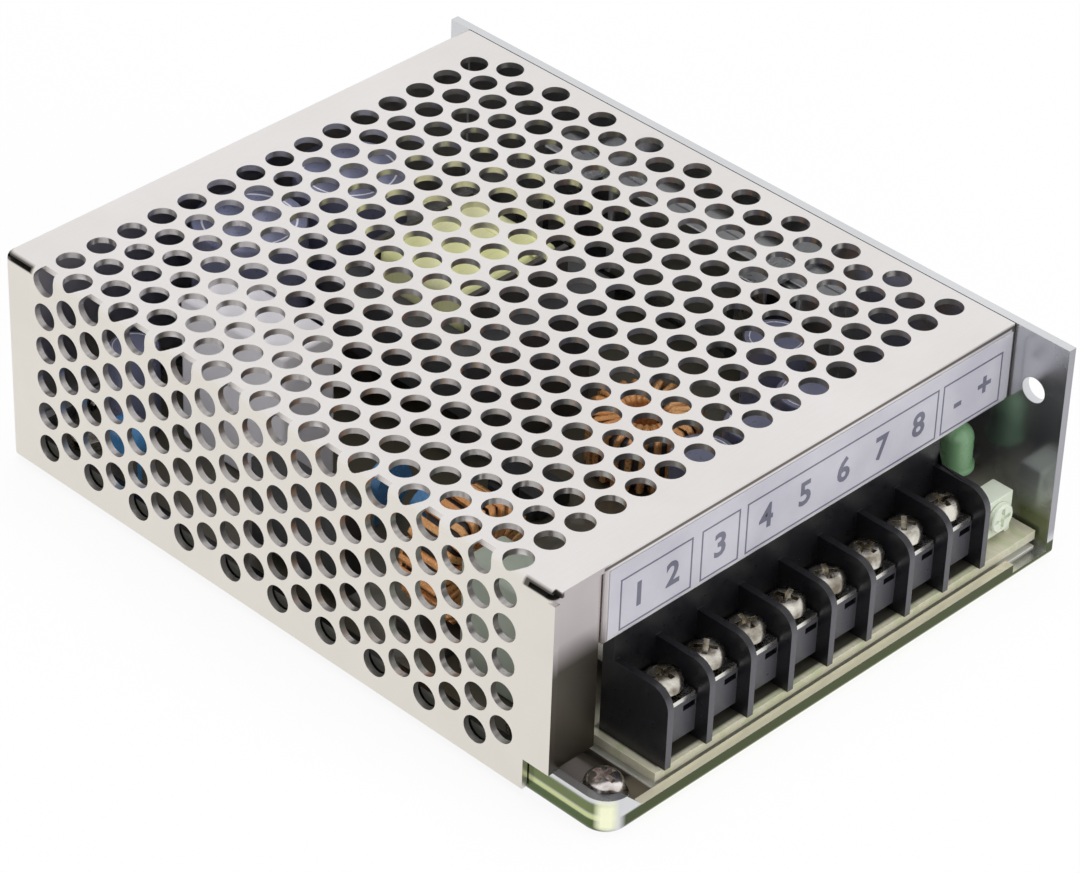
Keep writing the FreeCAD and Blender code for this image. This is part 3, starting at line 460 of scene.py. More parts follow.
def turned_about(x: float, y: float, degrees: float) -> Matrix:
    """Return a turn about the upright line through a point."""
    return shift(x, y, 0) @ Matrix.Rotation(math.radians(degrees), 4, "Z") @ shift(-x, -y, 0)


def corners(node: str) -> tuple[Vector, Vector]:
    """Return a frame node's lowest and highest corners in millimetres."""
    low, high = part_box(node)
    return low / MM, high / MM


def dressed_copy(node: str, width: float) -> Piece:
    """Copy a frame node, weld its facets and soften its edges.

    Args:
        node: The node's name.
        width: The softened edge's width.

    Returns:
        The copy.
    """
    source = frame["nodes"][node]
    twin = copied(source, node + "_skin", Matrix.Identity(4))
    twin.parent = None
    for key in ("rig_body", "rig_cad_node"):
        if key in twin:
            del twin[key]
    twin.data.materials.clear()
    with editing(twin):
        bpy.ops.mesh.select_all(action="SELECT")
        bpy.ops.mesh.remove_doubles(threshold=FACET_GAP * MM)
        bpy.ops.mesh.dissolve_limited(angle_limit=math.radians(FLAT_WITHIN))
    return smooth(soften(twin, width))


# Finishes


class Tree:
    """A node tree with short ways to add and link nodes."""

    def __init__(self, tree: bpy.types.NodeTree) -> None:
        """Work on a tree."""
        self.tree = tree

    def add(self, kind: str, **settings: Any) -> bpy.types.Node:
        """Add a node; values named after sockets are set on them, others on the node.

        Args:
            kind: The node's type.
            settings: The values, with _ for a space in a socket's name.

        Returns:
            The node.
        """
        node = self.tree.nodes.new(kind)
        for name, value in settings.items():
            socket = node.inputs.get(name.replace("_", " "))
            if socket is not None:
                self.feed(socket, value)
            else:
                setattr(node, name, value)
        return node

    def feed(self, socket: Socket, value: Value) -> None:
        """Link an output to a socket, or set its value.

        Args:
            socket: The socket to fill.
            value: An output or a plain value.
        """
        if isinstance(value, Socket):
            self.tree.links.new(value, socket)
        else:
            socket.default_value = value

    def math(self, operation: str, first: Value, second: Value = 0.0) -> Socket:
        """Return the result of a sum on two values.

        Args:
            operation: The kind of sum.
            first: Its first value.
            second: Its second value.

        Returns:
            The result's output.
        """
        node = self.add("ShaderNodeMath", operation=operation)
        self.feed(node.inputs[0], first)
        self.feed(node.inputs[1], second)
        return node.outputs[0]

    def between(self, value: Socket, low: float, high: float, to: Pair = (0.0, 1.0)) -> Socket:
        """Return a value's range stretched to another and held within it."""
        return self.add("ShaderNodeMapRange", Value=value, From_Min=low, From_Max=high, To_Min=to[0],
                        To_Max=to[1]).outputs["Result"]

    def shown(self) -> Socket:
        """Tell what is seen straight, in gloss or through glass from what only lights the object.

        Returns:
            1 where it is seen, and 0 elsewhere.
        """
        path = self.add("ShaderNodeLightPath").outputs
        seen = self.math("MAXIMUM", path["Is Camera Ray"], path["Is Glossy Ray"])
        return self.math("MAXIMUM", seen, path["Is Transmission Ray"])


class Nodes(Tree):
    """A material's node tree."""

    def __init__(self, name: str) -> None:
        """Start a material with a plain surface shader.

        Args:
            name: The material's name.
        """
        self.material = bpy.data.materials.new(name)
        self.material.use_nodes = True
        super().__init__(self.material.node_tree)
        self.shader = self.tree.nodes["Principled BSDF"]
        self.place = self.add("ShaderNodeTexCoord").outputs["Object"]

    def stretched(self, scale: Point) -> Socket:
        """Return object coordinates scaled along each axis."""
        return self.add("ShaderNodeMapping", Vector=self.place, Scale=scale).outputs["Vector"]

    def noise(self, scale: float, detail: float, stretch: Point = (1, 1, 1),
              distortion: float = 0.0) -> Socket:
        """Return a noise value; scale counts per metre."""
        place = self.stretched(stretch)
        return self.add("ShaderNodeTexNoise", Vector=place, Scale=scale, Detail=detail,
                        Distortion=distortion).outputs["Fac"]

    def blend(self, share: Value, first: Value, second: Value) -> Socket:
        """Return the mix of two colours.

        Args:
            share: How much of the second colour shows.
            first: A colour or an output.
            second: A colour or an output.

        Returns:
            The mix's output.
        """
        node = self.add("ShaderNodeMix", data_type="RGBA")
        self.feed(node.inputs["Factor"], share)
        colours = [socket for socket in node.inputs if socket.type == "RGBA"]
        for socket, value in zip(colours, (first, second)):
            self.feed(socket, value if isinstance(value, Socket) else (*value, 1.0))
        return next(out for out in node.outputs if out.type == "RGBA")

    def parts(self, vector: Socket) -> tuple[Socket, ...]:
        """Return a vector's three values."""
        return tuple(self.add("ShaderNodeSeparateXYZ", Vector=vector).outputs)

    def bump(self, height: Socket, strength: float, distance: float) -> None:
        """Raise the surface by a height; the distance is millimetres."""
        node = self.add("ShaderNodeBump", Height=height, Strength=strength, Distance=distance * MM)
        self.feed(self.shader.inputs["Normal"], node.outputs["Normal"])

    def surface(self, **values: Value) -> None:
        """Fill the shader's sockets, named with _ for a space."""
        for name, value in values.items():
            self.feed(self.shader.inputs[name.replace("_", " ")], value)


@dataclass(frozen=True)
class Finish:
    """A surface with a colour, a sheen and fine grain.

    Attributes:
        name: The material's name.
        slot: The record's material slot; not used.
        colour: The main colour.
        tint: A second colour that drifts through the first.
        roughness: The mean roughness.
        metallic: 1 for bare metal, 0 for the rest.
        grain: How fine the grain is, per metre.
        depth: How deep the grain is, in millimetres.
        coat: The share of a clear coat.
        stretch: How much finer the grain is along each axis.
        mottle: How fine the drift between the two colours is, per metre.
    """

    name: str
    slot: str
    colour: Colour
    tint: Colour
    roughness: float = 0.45
    metallic: float = 0.0
    grain: float = 900.0
    depth: float = 0.02
    coat: float = 0.0
    stretch: Point = (1.0, 1.0, 1.0)
    mottle: float = 90.0

    def build(self) -> bpy.types.Material:
        """Return the material, made on first use.

        Returns:
            The material.
        """
        made = bpy.data.materials.get(self.name)
        if made:
            return made
        nodes = Nodes(self.name)
        self.dress(nodes)
        return nodes.material

    def dress(self, nodes: Nodes) -> None:
        """Fill in the colour, the roughness and the grain.

        Args:
            nodes: The material's nodes.
        """
        drift = nodes.between(nodes.noise(self.mottle, 4.0), 0.35, 0.65)
        fine = nodes.noise(self.grain, 5.0, self.stretch)
        spread = (max(self.roughness - 0.07, 0.03), self.roughness + 0.09)
        nodes.surface(Base_Color=nodes.blend(drift, self.colour, self.tint),
                      Roughness=nodes.between(fine, 0.3, 0.7, spread), Metallic=self.metallic,
                      Coat_Weight=self.coat, Coat_Roughness=0.12)
        nodes.bump(fine, 0.35, self.depth)


@dataclass(frozen=True)
class Shade:
    """A soft-edged patch of painted light: a reflection, highlight or shade that a folded sheet shows of its
    surroundings.

    Attributes:
        low: The patch's lowest corner, in millimetres.
        high: The patch's highest corner.
        edge: How far the patch takes to fade in, along each axis.
        facing: The way that the patched faces look; zeros take every face.
        colour: The patch's colour.
        strength: The patch's share where it is full.
        narrow: From where to where the face's turn towards that way counts.
        matt: How much of the metal's mirror the patch takes away.
    """

    low: Point
    high: Point
    edge: Point
    facing: Point
    colour: Colour
    strength: float
    narrow: Pair = (0.35, 0.85)
    matt: float = 0.0

    def share(self, nodes: Nodes) -> Socket:
        """Return how much of the patch a place shows.

        Args:
            nodes: The material's nodes.

        Returns:
            The share's output.
        """
        share: Value = self.strength
        for value, start, end, fade in zip(nodes.parts(nodes.place), self.low, self.high, self.edge):
            rise = nodes.between(value, start * MM, (start + fade) * MM)
            fall = nodes.between(value, (end - fade) * MM, end * MM, (1.0, 0.0))
            share = nodes.math("MULTIPLY", nodes.math("MULTIPLY", rise, fall), share)
        if any(self.facing):
            toward = nodes.add("ShaderNodeVectorMath", operation="DOT_PRODUCT")
            nodes.feed(toward.inputs[0], nodes.add("ShaderNodeTexCoord").outputs["Normal"])
            toward.inputs[1].default_value = self.facing
            share = nodes.math("MULTIPLY", share, nodes.between(toward.outputs["Value"], *self.narrow))
        return share


@dataclass(frozen=True)
class SheetMetal(Finish):
    """Rolled sheet with long faint rolling lines, soft smudges and patches of painted reflection, highlight
    and shade.

    Attributes:
        shades: The patches of painted light, each laid over the ones before it.
    """

    roughness: float = 0.34
    metallic: float = 1.0
    grain: float = 260.0
    depth: float = 0.012
    stretch: Point = (1.0, 14.0, 14.0)
    shades: tuple[Shade, ...] = ()

    def dress(self, nodes: Nodes) -> None:
        """Fill in the rolling lines, the smudges and the patches of painted light.

        Args:
            nodes: The material's nodes.
        """
        drift = nodes.between(nodes.noise(28.0, 5.0, distortion=0.6), 0.32, 0.7)
        colour = nodes.blend(drift, self.colour, self.tint)
        lines = nodes.noise(self.grain, 6.0, self.stretch)
        colour = nodes.blend(nodes.between(lines, 0.35, 0.75, (0.0, 0.10)), colour, (0.60, 0.58, 0.55))
        metal: Value = self.metallic
        # lay each patch of painted reflection, highlight or shade into the colour
        for shade in self.shades:
            share = shade.share(nodes)
            colour = nodes.blend(share, colour, shade.colour)
            if shade.matt:
                metal = nodes.math("SUBTRACT", metal, nodes.math("MULTIPLY", share, shade.matt))
        smudge = nodes.noise(60.0, 6.0, distortion=1.2)
        rough = nodes.between(smudge, 0.3, 0.7, (self.roughness - 0.06, self.roughness + 0.10))
        nodes.surface(Base_Color=colour, Roughness=rough, Metallic=metal)
        nodes.bump(lines, 0.25, self.depth)


@dataclass(frozen=True)
class Moulding(Finish):
    """Black moulded plastic, with painted light greying the faces that look to the front.

    Attributes:
        lit: The painted colour of the lit faces that look forward.
    """

    lit: Colour = (0.075, 0.075, 0.088)

    def dress(self, nodes: Nodes) -> None:
        """Fill in the plain finish, then paint light onto the faces that look forward.

        Args:
            nodes: The material's nodes.
        """
        super().dress(nodes)
        plain = nodes.shader.inputs["Base Color"].links[0].from_socket
        # painted light on the faces that look forward
        front = Shade((-60.0, -80.0, 0.0), (60.0, -59.5, 40.0), (1.0, 1.0, 1.0), FORWARD, self.lit, 0.9,
                      (0.75, 0.97))
        nodes.surface(Base_Color=nodes.blend(front.share(nodes), plain, self.lit))


@dataclass(frozen=True)
class BoardFinish(Finish):
    """Tan laminate with green lands, with painted shade behind the terminals and a painted shadow under them.

    Attributes:
        painted_shade: The colour of the painted shade behind the terminals.
        painted_shade_from: Where along Y the painted shade begins, in millimetres.
        painted_shade_fade: How far it takes to be full.
        shadow: The painted shadow under the terminals.
    """

    painted_shade: Colour = (0.070, 0.062, 0.045)
    painted_shade_from: float = -50.0
    painted_shade_fade: float = 4.0
    shadow: Shade = Shade((-35.0, -61.9, 4.0), (34.9, -49.0, 9.0), (0.4, 0.5, 0.1), UPWARD,
                          (0.020, 0.018, 0.014), 0.95)

    def dress(self, nodes: Nodes) -> None:
        """Fill in the painted shade and shadow, the lands and the fibre of the laminate.

        Args:
            nodes: The material's nodes.
        """
        tracks = nodes.add("ShaderNodeTexVoronoi", feature="DISTANCE_TO_EDGE", Vector=nodes.place,
                           Scale=120.0)
        land = nodes.between(tracks.outputs["Distance"], 0.06, 0.09)
        weave = nodes.noise(2200.0, 2.0, (1.0, 0.25, 1.0))
        base = nodes.blend(land, self.tint, self.colour)
        base = nodes.blend(nodes.between(weave, 0.35, 0.7, (0.0, 0.25)), base, (0.42, 0.36, 0.20))
        # painted shade: the board darkens behind the terminals
        inward = nodes.between(nodes.parts(nodes.place)[1], self.painted_shade_from * MM,
                               (self.painted_shade_from + self.painted_shade_fade) * MM)
        base = nodes.blend(inward, base, self.painted_shade)
        # painted shadow under the terminals
        base = nodes.blend(self.shadow.share(nodes), base, self.shadow.colour)
        nodes.surface(Base_Color=base, Roughness=self.roughness, Coat_Weight=0.3)
        nodes.bump(land, 0.3, 0.03)


class Finishes:
    """Every finish on the supply, named for where it is."""

    COVER = SheetMetal("cover_sheet_metal", "cover_aluminium", (0.755, 0.725, 0.71), (0.795, 0.77, 0.76),
                       shades=(
        # painted reflection: the side wall, a little yellower
        Shade((-52.0, -60.0, -9.0), (-46.9, 70.0, 45.0), (1.0, 1.0, 1.0), LEFTWARD,
              (0.76, 0.72, 0.64), 0.75),
        # painted shade: the tab, greyer
        Shade((-52.0, -60.0, -9.0), (-38.0, -52.5, 45.0), (1.0, 1.0, 1.0), FORWARD,
              (0.50, 0.45, 0.46), 0.80),
        # painted shade: the tab's dark foot
        Shade((-52.0, -60.0, -9.0), (-38.0, -52.5, 28.5), (1.0, 1.0, 5.0), FORWARD,
              (0.050, 0.042, 0.026), 0.92),
        # painted dark reflection: the line where the flange folds down
        Shade((-39.6, -60.0, 37.05), (50.0, -53.45, 37.80), (0.2, 0.1, 0.2), EVERY_WAY,
              (0.070, 0.048, 0.038), 0.88),
        # painted shade in the gap at the flange's right end
        Shade((46.6, -60.0, 24.0), (50.0, -53.0, 37.6), (0.2, 0.4, 0.4), FORWARD,
              (0.06, 0.04, 0.03), 0.9),
        # painted shade round the front slit
        Shade((-50.0, -56.0, 36.5), (-47.2, -47.9, 37.9), (0.2, 0.5, 0.3), EVERY_WAY,
              (0.035, 0.028, 0.022), 0.9),
        # painted shade round the rear slit
        Shade((-50.0, 54.4, 36.5), (-47.4, 63.0, 37.9), (0.2, 0.5, 0.3), EVERY_WAY,
              (0.035, 0.028, 0.022), 0.9),
    ))
    CHASSIS = SheetMetal("chassis_sheet_metal", "chassis_aluminium", (0.63, 0.64, 0.66), (0.70, 0.71, 0.73),
                         roughness=0.20, metallic=0.90, stretch=(14.0, 1.0, 14.0), shades=(
        # painted highlight: the bend under the front lip
        Shade((-43.0, -70.0, -3.0), (60.0, -60.0, 1.35), (2.5, 1.0, 0.5), EVERY_WAY,
              (0.66, 0.72, 0.36), 0.9),
        # painted light: the front lip seen from above, pale and less mirror-like
        Shade((-43.0, -70.0, 0.9), (42.0, -57.5, 4.0), (2.0, 1.0, 0.3), UPWARD,
              (0.66, 0.62, 0.45), 0.90, matt=0.8),
        # painted dark reflection: the front lip's face
        Shade((-45.0, -70.0, 0.7), (60.0, -62.0, 3.25), (1.2, 1.0, 0.35), FORWARD,
              (0.040, 0.056, 0.006), 0.98),
        # painted dark reflection: the left lip, low
        Shade((-52.0, -70.0, -3.0), (-44.6, 70.0, 2.9), (1.0, 1.0, 0.5), LEFTWARD,
              (0.052, 0.090, 0.010), 0.95),
        # painted highlight: the left lip, middle
        Shade((-52.0, -70.0, 2.4), (-44.6, 70.0, 3.6), (1.0, 1.0, 0.4), LEFTWARD,
              (0.58, 0.64, 0.26), 0.9),
        # painted reflection: the left lip, high
        Shade((-52.0, -70.0, 3.2), (-44.6, 70.0, 5.7), (1.0, 1.0, 0.5), LEFTWARD,
              (0.13, 0.165, 0.050), 0.95),
        # painted shade: the left lip behind the corner
        Shade((-52.0, -48.4, -3.0), (-44.0, 70.0, 7.5), (1.0, 1.0, 1.0), EVERY_WAY,
              (0.022, 0.022, 0.018), 0.97),
        # painted highlight: the front left corner
        Shade((-50.0, -68.0, -0.8), (-42.2, -58.8, 7.2), (1.0, 1.0, 2.4), TO_THE_CORNER,
              (0.96, 0.98, 0.70), 0.97, (0.89, 0.985)),
        # painted shade: the recess behind the corner
        Shade((-46.6, -63.2, 1.0), (-33.0, -45.0, 6.5), (0.6, 1.0, 0.5), EVERY_WAY,
              (0.085, 0.062, 0.045), 0.85),
        # painted dark reflection of the inside: the wall behind the lamp
        Shade((46.0, -66.0, 5.0), (47.9, -45.0, 29.0), (0.1, 0.3, 9.0), LEFTWARD,
              (0.075, 0.075, 0.115), 0.65),
        # painted reflection of the front lip: the foot of the wall
        Shade((46.0, -68.0, -1.5), (47.9, -55.0, 11.5), (0.1, 4.0, 4.5), LEFTWARD,
              (0.090, 0.115, 0.022), 0.90, matt=0.4),
        # painted reflection: the wall's front edge, greyed
        Shade((46.0, -70.0, 3.0), (60.0, -63.0, 40.0), (1.0, 1.0, 2.0), FORWARD,
              (0.30, 0.30, 0.33), 0.85),
    ))
    LABEL = Finish("label_film", "cover_aluminium", (0.50, 0.49, 0.56), (0.59, 0.58, 0.64), roughness=0.38,
                   grain=1500.0, depth=0.004, coat=0.2)
    INK = Finish("label_ink", "black_moulding", (0.12, 0.12, 0.17), (0.18, 0.18, 0.24),
                 roughness=0.5, depth=0.003)
    BLACK = Moulding("black_moulding_finish", "black_moulding", (0.008, 0.008, 0.010), (0.012, 0.012, 0.015),
                     roughness=0.34, grain=1400.0, depth=0.006)
    PLATED = Finish("bright_plating", "plated_steel", (0.20, 0.17, 0.13), (0.74, 0.71, 0.64), roughness=0.24,
                    metallic=1.0, grain=700.0, depth=0.02, mottle=420.0)
    GROUND = Finish("ground_plating", "plated_steel", (0.46, 0.40, 0.37), (0.86, 0.81, 0.79), roughness=0.24,
                    metallic=1.0, grain=700.0, depth=0.03, mottle=480.0)
    TINNED = Finish("tinned_contact", "tinned_brass", (0.78, 0.76, 0.70), (0.84, 0.82, 0.78), roughness=0.24,
                    metallic=1.0)
    STEEL = Finish("spring_steel_finish", "spring_steel", (0.55, 0.56, 0.58), (0.62, 0.63, 0.66),
                   roughness=0.3, metallic=1.0)
    BOARD = BoardFinish("board_laminate_finish", "board_laminate", (0.66, 0.64, 0.50), (0.58, 0.60, 0.42),
                        roughness=0.38)
    FILM = Finish("insulating_film_finish", "insulating_film", (0.82, 0.81, 0.74), (0.78, 0.77, 0.70),
                  roughness=0.5, depth=0.01)
    FERRITE = Finish("ferrite_finish", "ferrite", (0.045, 0.045, 0.05), (0.07, 0.07, 0.075), roughness=0.5,
                     grain=2500.0, depth=0.03)
    TAPE = Finish("winding_tape", "yellow_tape", (0.98, 1.0, 0.50), (1.0, 1.0, 0.60),
                  roughness=0.30, coat=0.3, grain=300.0, depth=0.03, stretch=(1.0, 12.0, 1.0))
    COPPER = Finish("enamelled_wire", "enamelled_copper", (0.80, 0.36, 0.12), (0.88, 0.48, 0.20),
                    roughness=0.25, metallic=0.45, coat=0.4)
    SLEEVE = Finish("capacitor_sleeve", "grey_sleeve", (0.15, 0.16, 0.25), (0.19, 0.20, 0.30), roughness=0.32,
                    coat=0.2)
    CAN_TOP = Finish("capacitor_top", "grey_sleeve", (0.78, 0.77, 0.87), (0.86, 0.85, 0.93), roughness=0.32,
                     metallic=0.25)
    PALE_BOX = Finish("pale_capacitor_case", "pale_box", (0.94, 0.92, 0.98), (0.97, 0.95, 1.0), roughness=0.4)
    GREY_BOX = Finish("filter_capacitor_case", "grey_green_box", (0.42, 0.48, 0.40), (0.48, 0.53, 0.45),
                      roughness=0.45)
    BLUE_DIP = Finish("blue_dip_coat", "blue_dip", (0.05, 0.20, 0.46), (0.08, 0.28, 0.55),
                      roughness=0.22, coat=0.5)
    DARK_DIP = Finish("dark_dip_coat", "dark_dip", (0.03, 0.05, 0.04), (0.05, 0.08, 0.06), roughness=0.4)
    FUSE_TUBE = Finish("fuse_tube_finish", "fuse_sleeve", (0.70, 0.66, 0.60), (0.76, 0.72, 0.66),
                       roughness=0.3)
    PACKAGE = Finish("package_moulding", "black_package", (0.02, 0.02, 0.022), (0.03, 0.03, 0.034),
                     roughness=0.45, grain=2500.0, depth=0.02)
    PAD = Finish("heat_pad", "thermal_pad", (0.50, 0.52, 0.53), (0.55, 0.57, 0.58), roughness=0.75)
    LENS = Finish("green_lens_finish", "green_lens", (0.20, 0.39, 0.20), (0.27, 0.47, 0.27), roughness=0.3,
                  coat=0.3, depth=0.004)
    WHITE = Finish("trimmer_moulding", "white_moulding", (0.78, 0.84, 0.70), (0.84, 0.88, 0.78),
                   roughness=0.35)
    BOBBIN = Finish("bobbin_moulding_finish", "bobbin_moulding", (0.06, 0.055, 0.05), (0.09, 0.08, 0.075),
                    roughness=0.4)
    BAR = Finish("bar_extrusion", "bar_aluminium", (0.66, 0.67, 0.69), (0.72, 0.73, 0.75), roughness=0.35,
                 metallic=1.0, stretch=(8.0, 0.6, 8.0), grain=400.0)


def settle(piece: Piece, finish: Finish, body: str = "root", replaces: Sequence[str] = (),
           name: Optional[str] = None) -> Piece:
    """Give a finished piece its material, its body and the nodes that it stands for.

    Args:
        piece: The finished object.
        finish: The surface that covers it.
        body: The body that it rides on.
        replaces: The frame nodes that it stands for.
        name: The piece's last name, if it changes.

    Returns:
        The same object.
    """
    if name:
        piece.name = name
    if not piece.data.materials:
        piece.data.materials.append(finish.build())
    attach(piece, body)
    if replaces:
        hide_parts(*replaces)
    LOG.info("%s: %d faces on %s", piece.name, len(piece.data.polygons), body)
    return piece


def coat_node(node: str, finish: Finish) -> None:
    """Give a frame node a finish and leave its mesh as it is.

    Args:
        node: The node's name.
        finish: The surface that covers it.
    """
    mesh = frame["nodes"][node].data
    mesh.materials.clear()
    mesh.materials.append(finish.build())


# Sheet metal


@dataclass
class MeshCover:
    """The folded cover: perforated top and side, label flange, corner tab and rear flange."""

    sheet: float = 1.0
    bend: float = 1.5
    bend_steps: int = 5
    hole_diameter: float = 4.5
    hole_sides: int = 24
    hole_pitch: float = 6.0
    column_step: float = 5.1
    column_count: int = 20
    rear_column_y: float = 52.0
    top_row_x: float = -43.6
    side_row_z: float = 36.3
    punch_inside: float = 1.8  # a punch's reach into the case, in sheet thicknesses
    punch_outside: float = 1.5  # and out of it
    flange_height: float = 13.4
    flange_root: float = 1.6  # how far a fold reaches into the cover, in sheet thicknesses
    tab_width: float = 9.5
    tab_setback: float = 0.5
    tab_bottom: float = 6.4
    flange_gap: float = 0.2
    notch_length: float = 5.0
    notch_top: float = 6.6
    rear_slit: Pair = (6.2, 0.4)  # its ends, from the rear
    front_slit: Pair = (0.2, 5.2)  # its ends, from the front
    slit_reach: Pair = (1.5, 1.2)  # out of the side wall and into it
    slit_width: float = 0.7
    slit_drop: float = 0.55  # from the top down to the slits
    corner_notch: Point = (1.3, 1.2, 1.9)  # across, along and down
    screw_x: float = 34.0
    screw_z: float = 3.9
    screw_hole_radius: float = 1.55
    smooth_below: float = 30.0
    low: Vector = field(init=False)
    high: Vector = field(init=False)

    def __post_init__(self) -> None:
        """Read the cover's corners."""
        self.low, self.high = corners("mesh_cover")

    def build(self) -> None:
        """Fold, trim and perforate the cover."""
        cover = self.folded_shell()
        for tool in (*self.trimmings(), *self.slits()):
            carve(cover, tool)
        for flange in self.front_flanges():
            carve(cover, flange, UNION)
        carve(cover, self.punches())
        settle(smooth(cover, self.smooth_below), Finishes.COVER, replaces=["mesh_cover"],
               name="perforated_cover")

    def folded_shell(self) -> Piece:
        """Return the top, left side and rear as one bent sheet.

        Returns:
            The shell, open at the right, the front and below.
        """
        low, high = self.low, self.high
        shell = block("cover_shell", low, high)
        with editing(shell, "EDGE"):
            pick_edges(shell, self.on_bend)
            bpy.ops.mesh.bevel(offset=self.bend * MM, segments=self.bend_steps, affect="EDGES",
                               clamp_overlap=False)
            bpy.ops.mesh.select_mode(type="FACE")
            pick_faces(shell, lambda face: max(-face.normal.z, face.normal.x, -face.normal.y) > 0.9)
            bpy.ops.mesh.delete(type="FACE")
        apply_modifier(shell, "SOLIDIFY", thickness=self.sheet * MM, offset=-1.0, use_even_offset=True)
        return face_outwards(shell)

    def on_bend(self, first: Vector, last: Vector) -> bool:
        """Say whether an edge is one of the three long bends.

        Args:
            first: The edge's first end.
            last: The edge's other end.

        Returns:
            Whether it is.
        """
        def at(axis: int, place: float) -> bool:
            """Say whether both ends lie at a place along an axis."""
            return abs(first[axis] - place) < 0.01 and abs(last[axis] - place) < 0.01
        left, rear, top = at(0, self.low.x), at(1, self.high.y), at(2, self.high.z)
        return (left and top) or (rear and top) or (left and rear)

    def trimmings(self) -> list[Piece]:
        """Return what is cut off: the side wall's front notch and the rear screw holes.

        Returns:
            The cutting tools.
        """
        low = self.low
        notch = block("notch_tool", (low.x - 1, low.y - 1, low.z - 1),
                      (low.x + self.sheet + 1, low.y + self.notch_length, self.notch_top))
        holes = [turned(f"screw_hole_{i}", (sign * self.screw_x, self.high.y - 2 * self.sheet, self.screw_z),
                        [(self.screw_hole_radius, 0), (self.screw_hole_radius, 4 * self.sheet)], 24, Axis.Y)
                 for i, sign in enumerate((1, -1))]
        return [notch, *holes]

    def front_flanges(self) -> list[Piece]:
        """Return the label flange, hung from the top by its bend, and the tab folded from the side.

        Returns:
            The two pieces.
        """
        low, high, sheet = self.low, self.high, self.sheet
        root = self.flange_root * sheet
        outer = arc((low.y + sheet, high.z - sheet), sheet, 180, 90, self.bend_steps)
        left = low.x + self.tab_width + self.flange_gap
        bottom = high.z - self.flange_height
        profile = [(low.y, bottom), *outer, (low.y + root, high.z), (low.y + root, high.z - sheet),
                   (low.y + sheet, high.z - sheet), (low.y + sheet, bottom)]
        flange = traced("label_flange", [(left, y, z) for y, z in profile], (high.x - left, 0, 0))
        front = low.y + self.tab_setback
        bend = arc((low.x + sheet, front + sheet), sheet, 180, 270, self.bend_steps)
        plan = [(low.x, front + root), *bend, (low.x + self.tab_width, front),
                (low.x + self.tab_width, front + sheet), (low.x + sheet, front + sheet),
                (low.x + sheet, front + root)]
        top = high.z - sheet - self.flange_gap
        tab = traced("tab", [(x, y, self.notch_top) for x, y in plan], (0, 0, top - self.notch_top))
        toe = block("tab_toe", (low.x + sheet, front, self.tab_bottom),
                    (low.x + self.tab_width, front + sheet, self.notch_top + sheet))
        carve(tab, toe, UNION)
        return [flange, tab]

    def centres(self) -> Iterator[tuple[str, float, float]]:
        """Yield each hole's wall, its place along the wall's own row, and its y.

        Yields:
            One hole at a time.
        """
        for column in range(self.column_count):
            y = self.rear_column_y - column * self.column_step
            stagger = 0 if column % 2 == 0 else self.hole_pitch / 2
            x = self.top_row_x - stagger
            while x < self.high.x - self.hole_diameter / 2 - self.sheet:
                yield "top", x, y
                x += self.hole_pitch
            z = self.side_row_z - stagger
            while z > self.low.z + self.hole_diameter / 2 + self.sheet:
                yield "side", z, y
                z -= self.hole_pitch

    def punches(self) -> Piece:
        """Return one tool that holds a round punch for every hole.

        Returns:
            The cutting tool.
        """
        radius = self.hole_diameter / 2
        inside, outside = self.punch_inside * self.sheet, self.punch_outside * self.sheet
        pin = [(radius, 0), (radius, outside + inside)]
        down = turned("punch_down", (0, 0, self.high.z - inside), pin, self.hole_sides)
        across = turned("punch_across", (self.low.x - outside, 0, 0), pin, self.hole_sides, Axis.X)
        tool = bmesh.new()
        for wall, along, y in self.centres():
            source, place = (down, shift(x=along, y=y)) if wall == "top" else (across, shift(y=y, z=along))
            stamp = source.data.copy()
            stamp.transform(place)
            tool.from_mesh(stamp)
            bpy.data.meshes.remove(stamp)
        mesh = bpy.data.meshes.new("punches")
        tool.to_mesh(mesh)
        tool.free()
        for source in (down, across):
            bpy.data.objects.remove(source)
        punches = bpy.data.objects.new("punches", mesh)
        bpy.context.scene.collection.objects.link(punches)
        return punches

    def slits(self) -> list[Piece]:
        """Return the relief slits at both ends of the long bend and the notch at its front corner.

        Returns:
            The cutting tools.
        """
        low, high = self.low, self.high
        outward, inward = self.slit_reach
        top = high.z - self.slit_drop
        ends = {"rear": [high.y - away for away in self.rear_slit],
                "front": [low.y + away for away in self.front_slit]}
        tools = [block(f"slit_{name}", (low.x - outward, start, top - self.slit_width),
                       (low.x + inward, end, top)) for name, (start, end) in ends.items()]
        across, along, down = self.corner_notch
        return tools + [block("corner_notch", (low.x - 1, low.y - 1, high.z - down),
                              (low.x + across, low.y + along, high.z + 1))]


# Terminal block


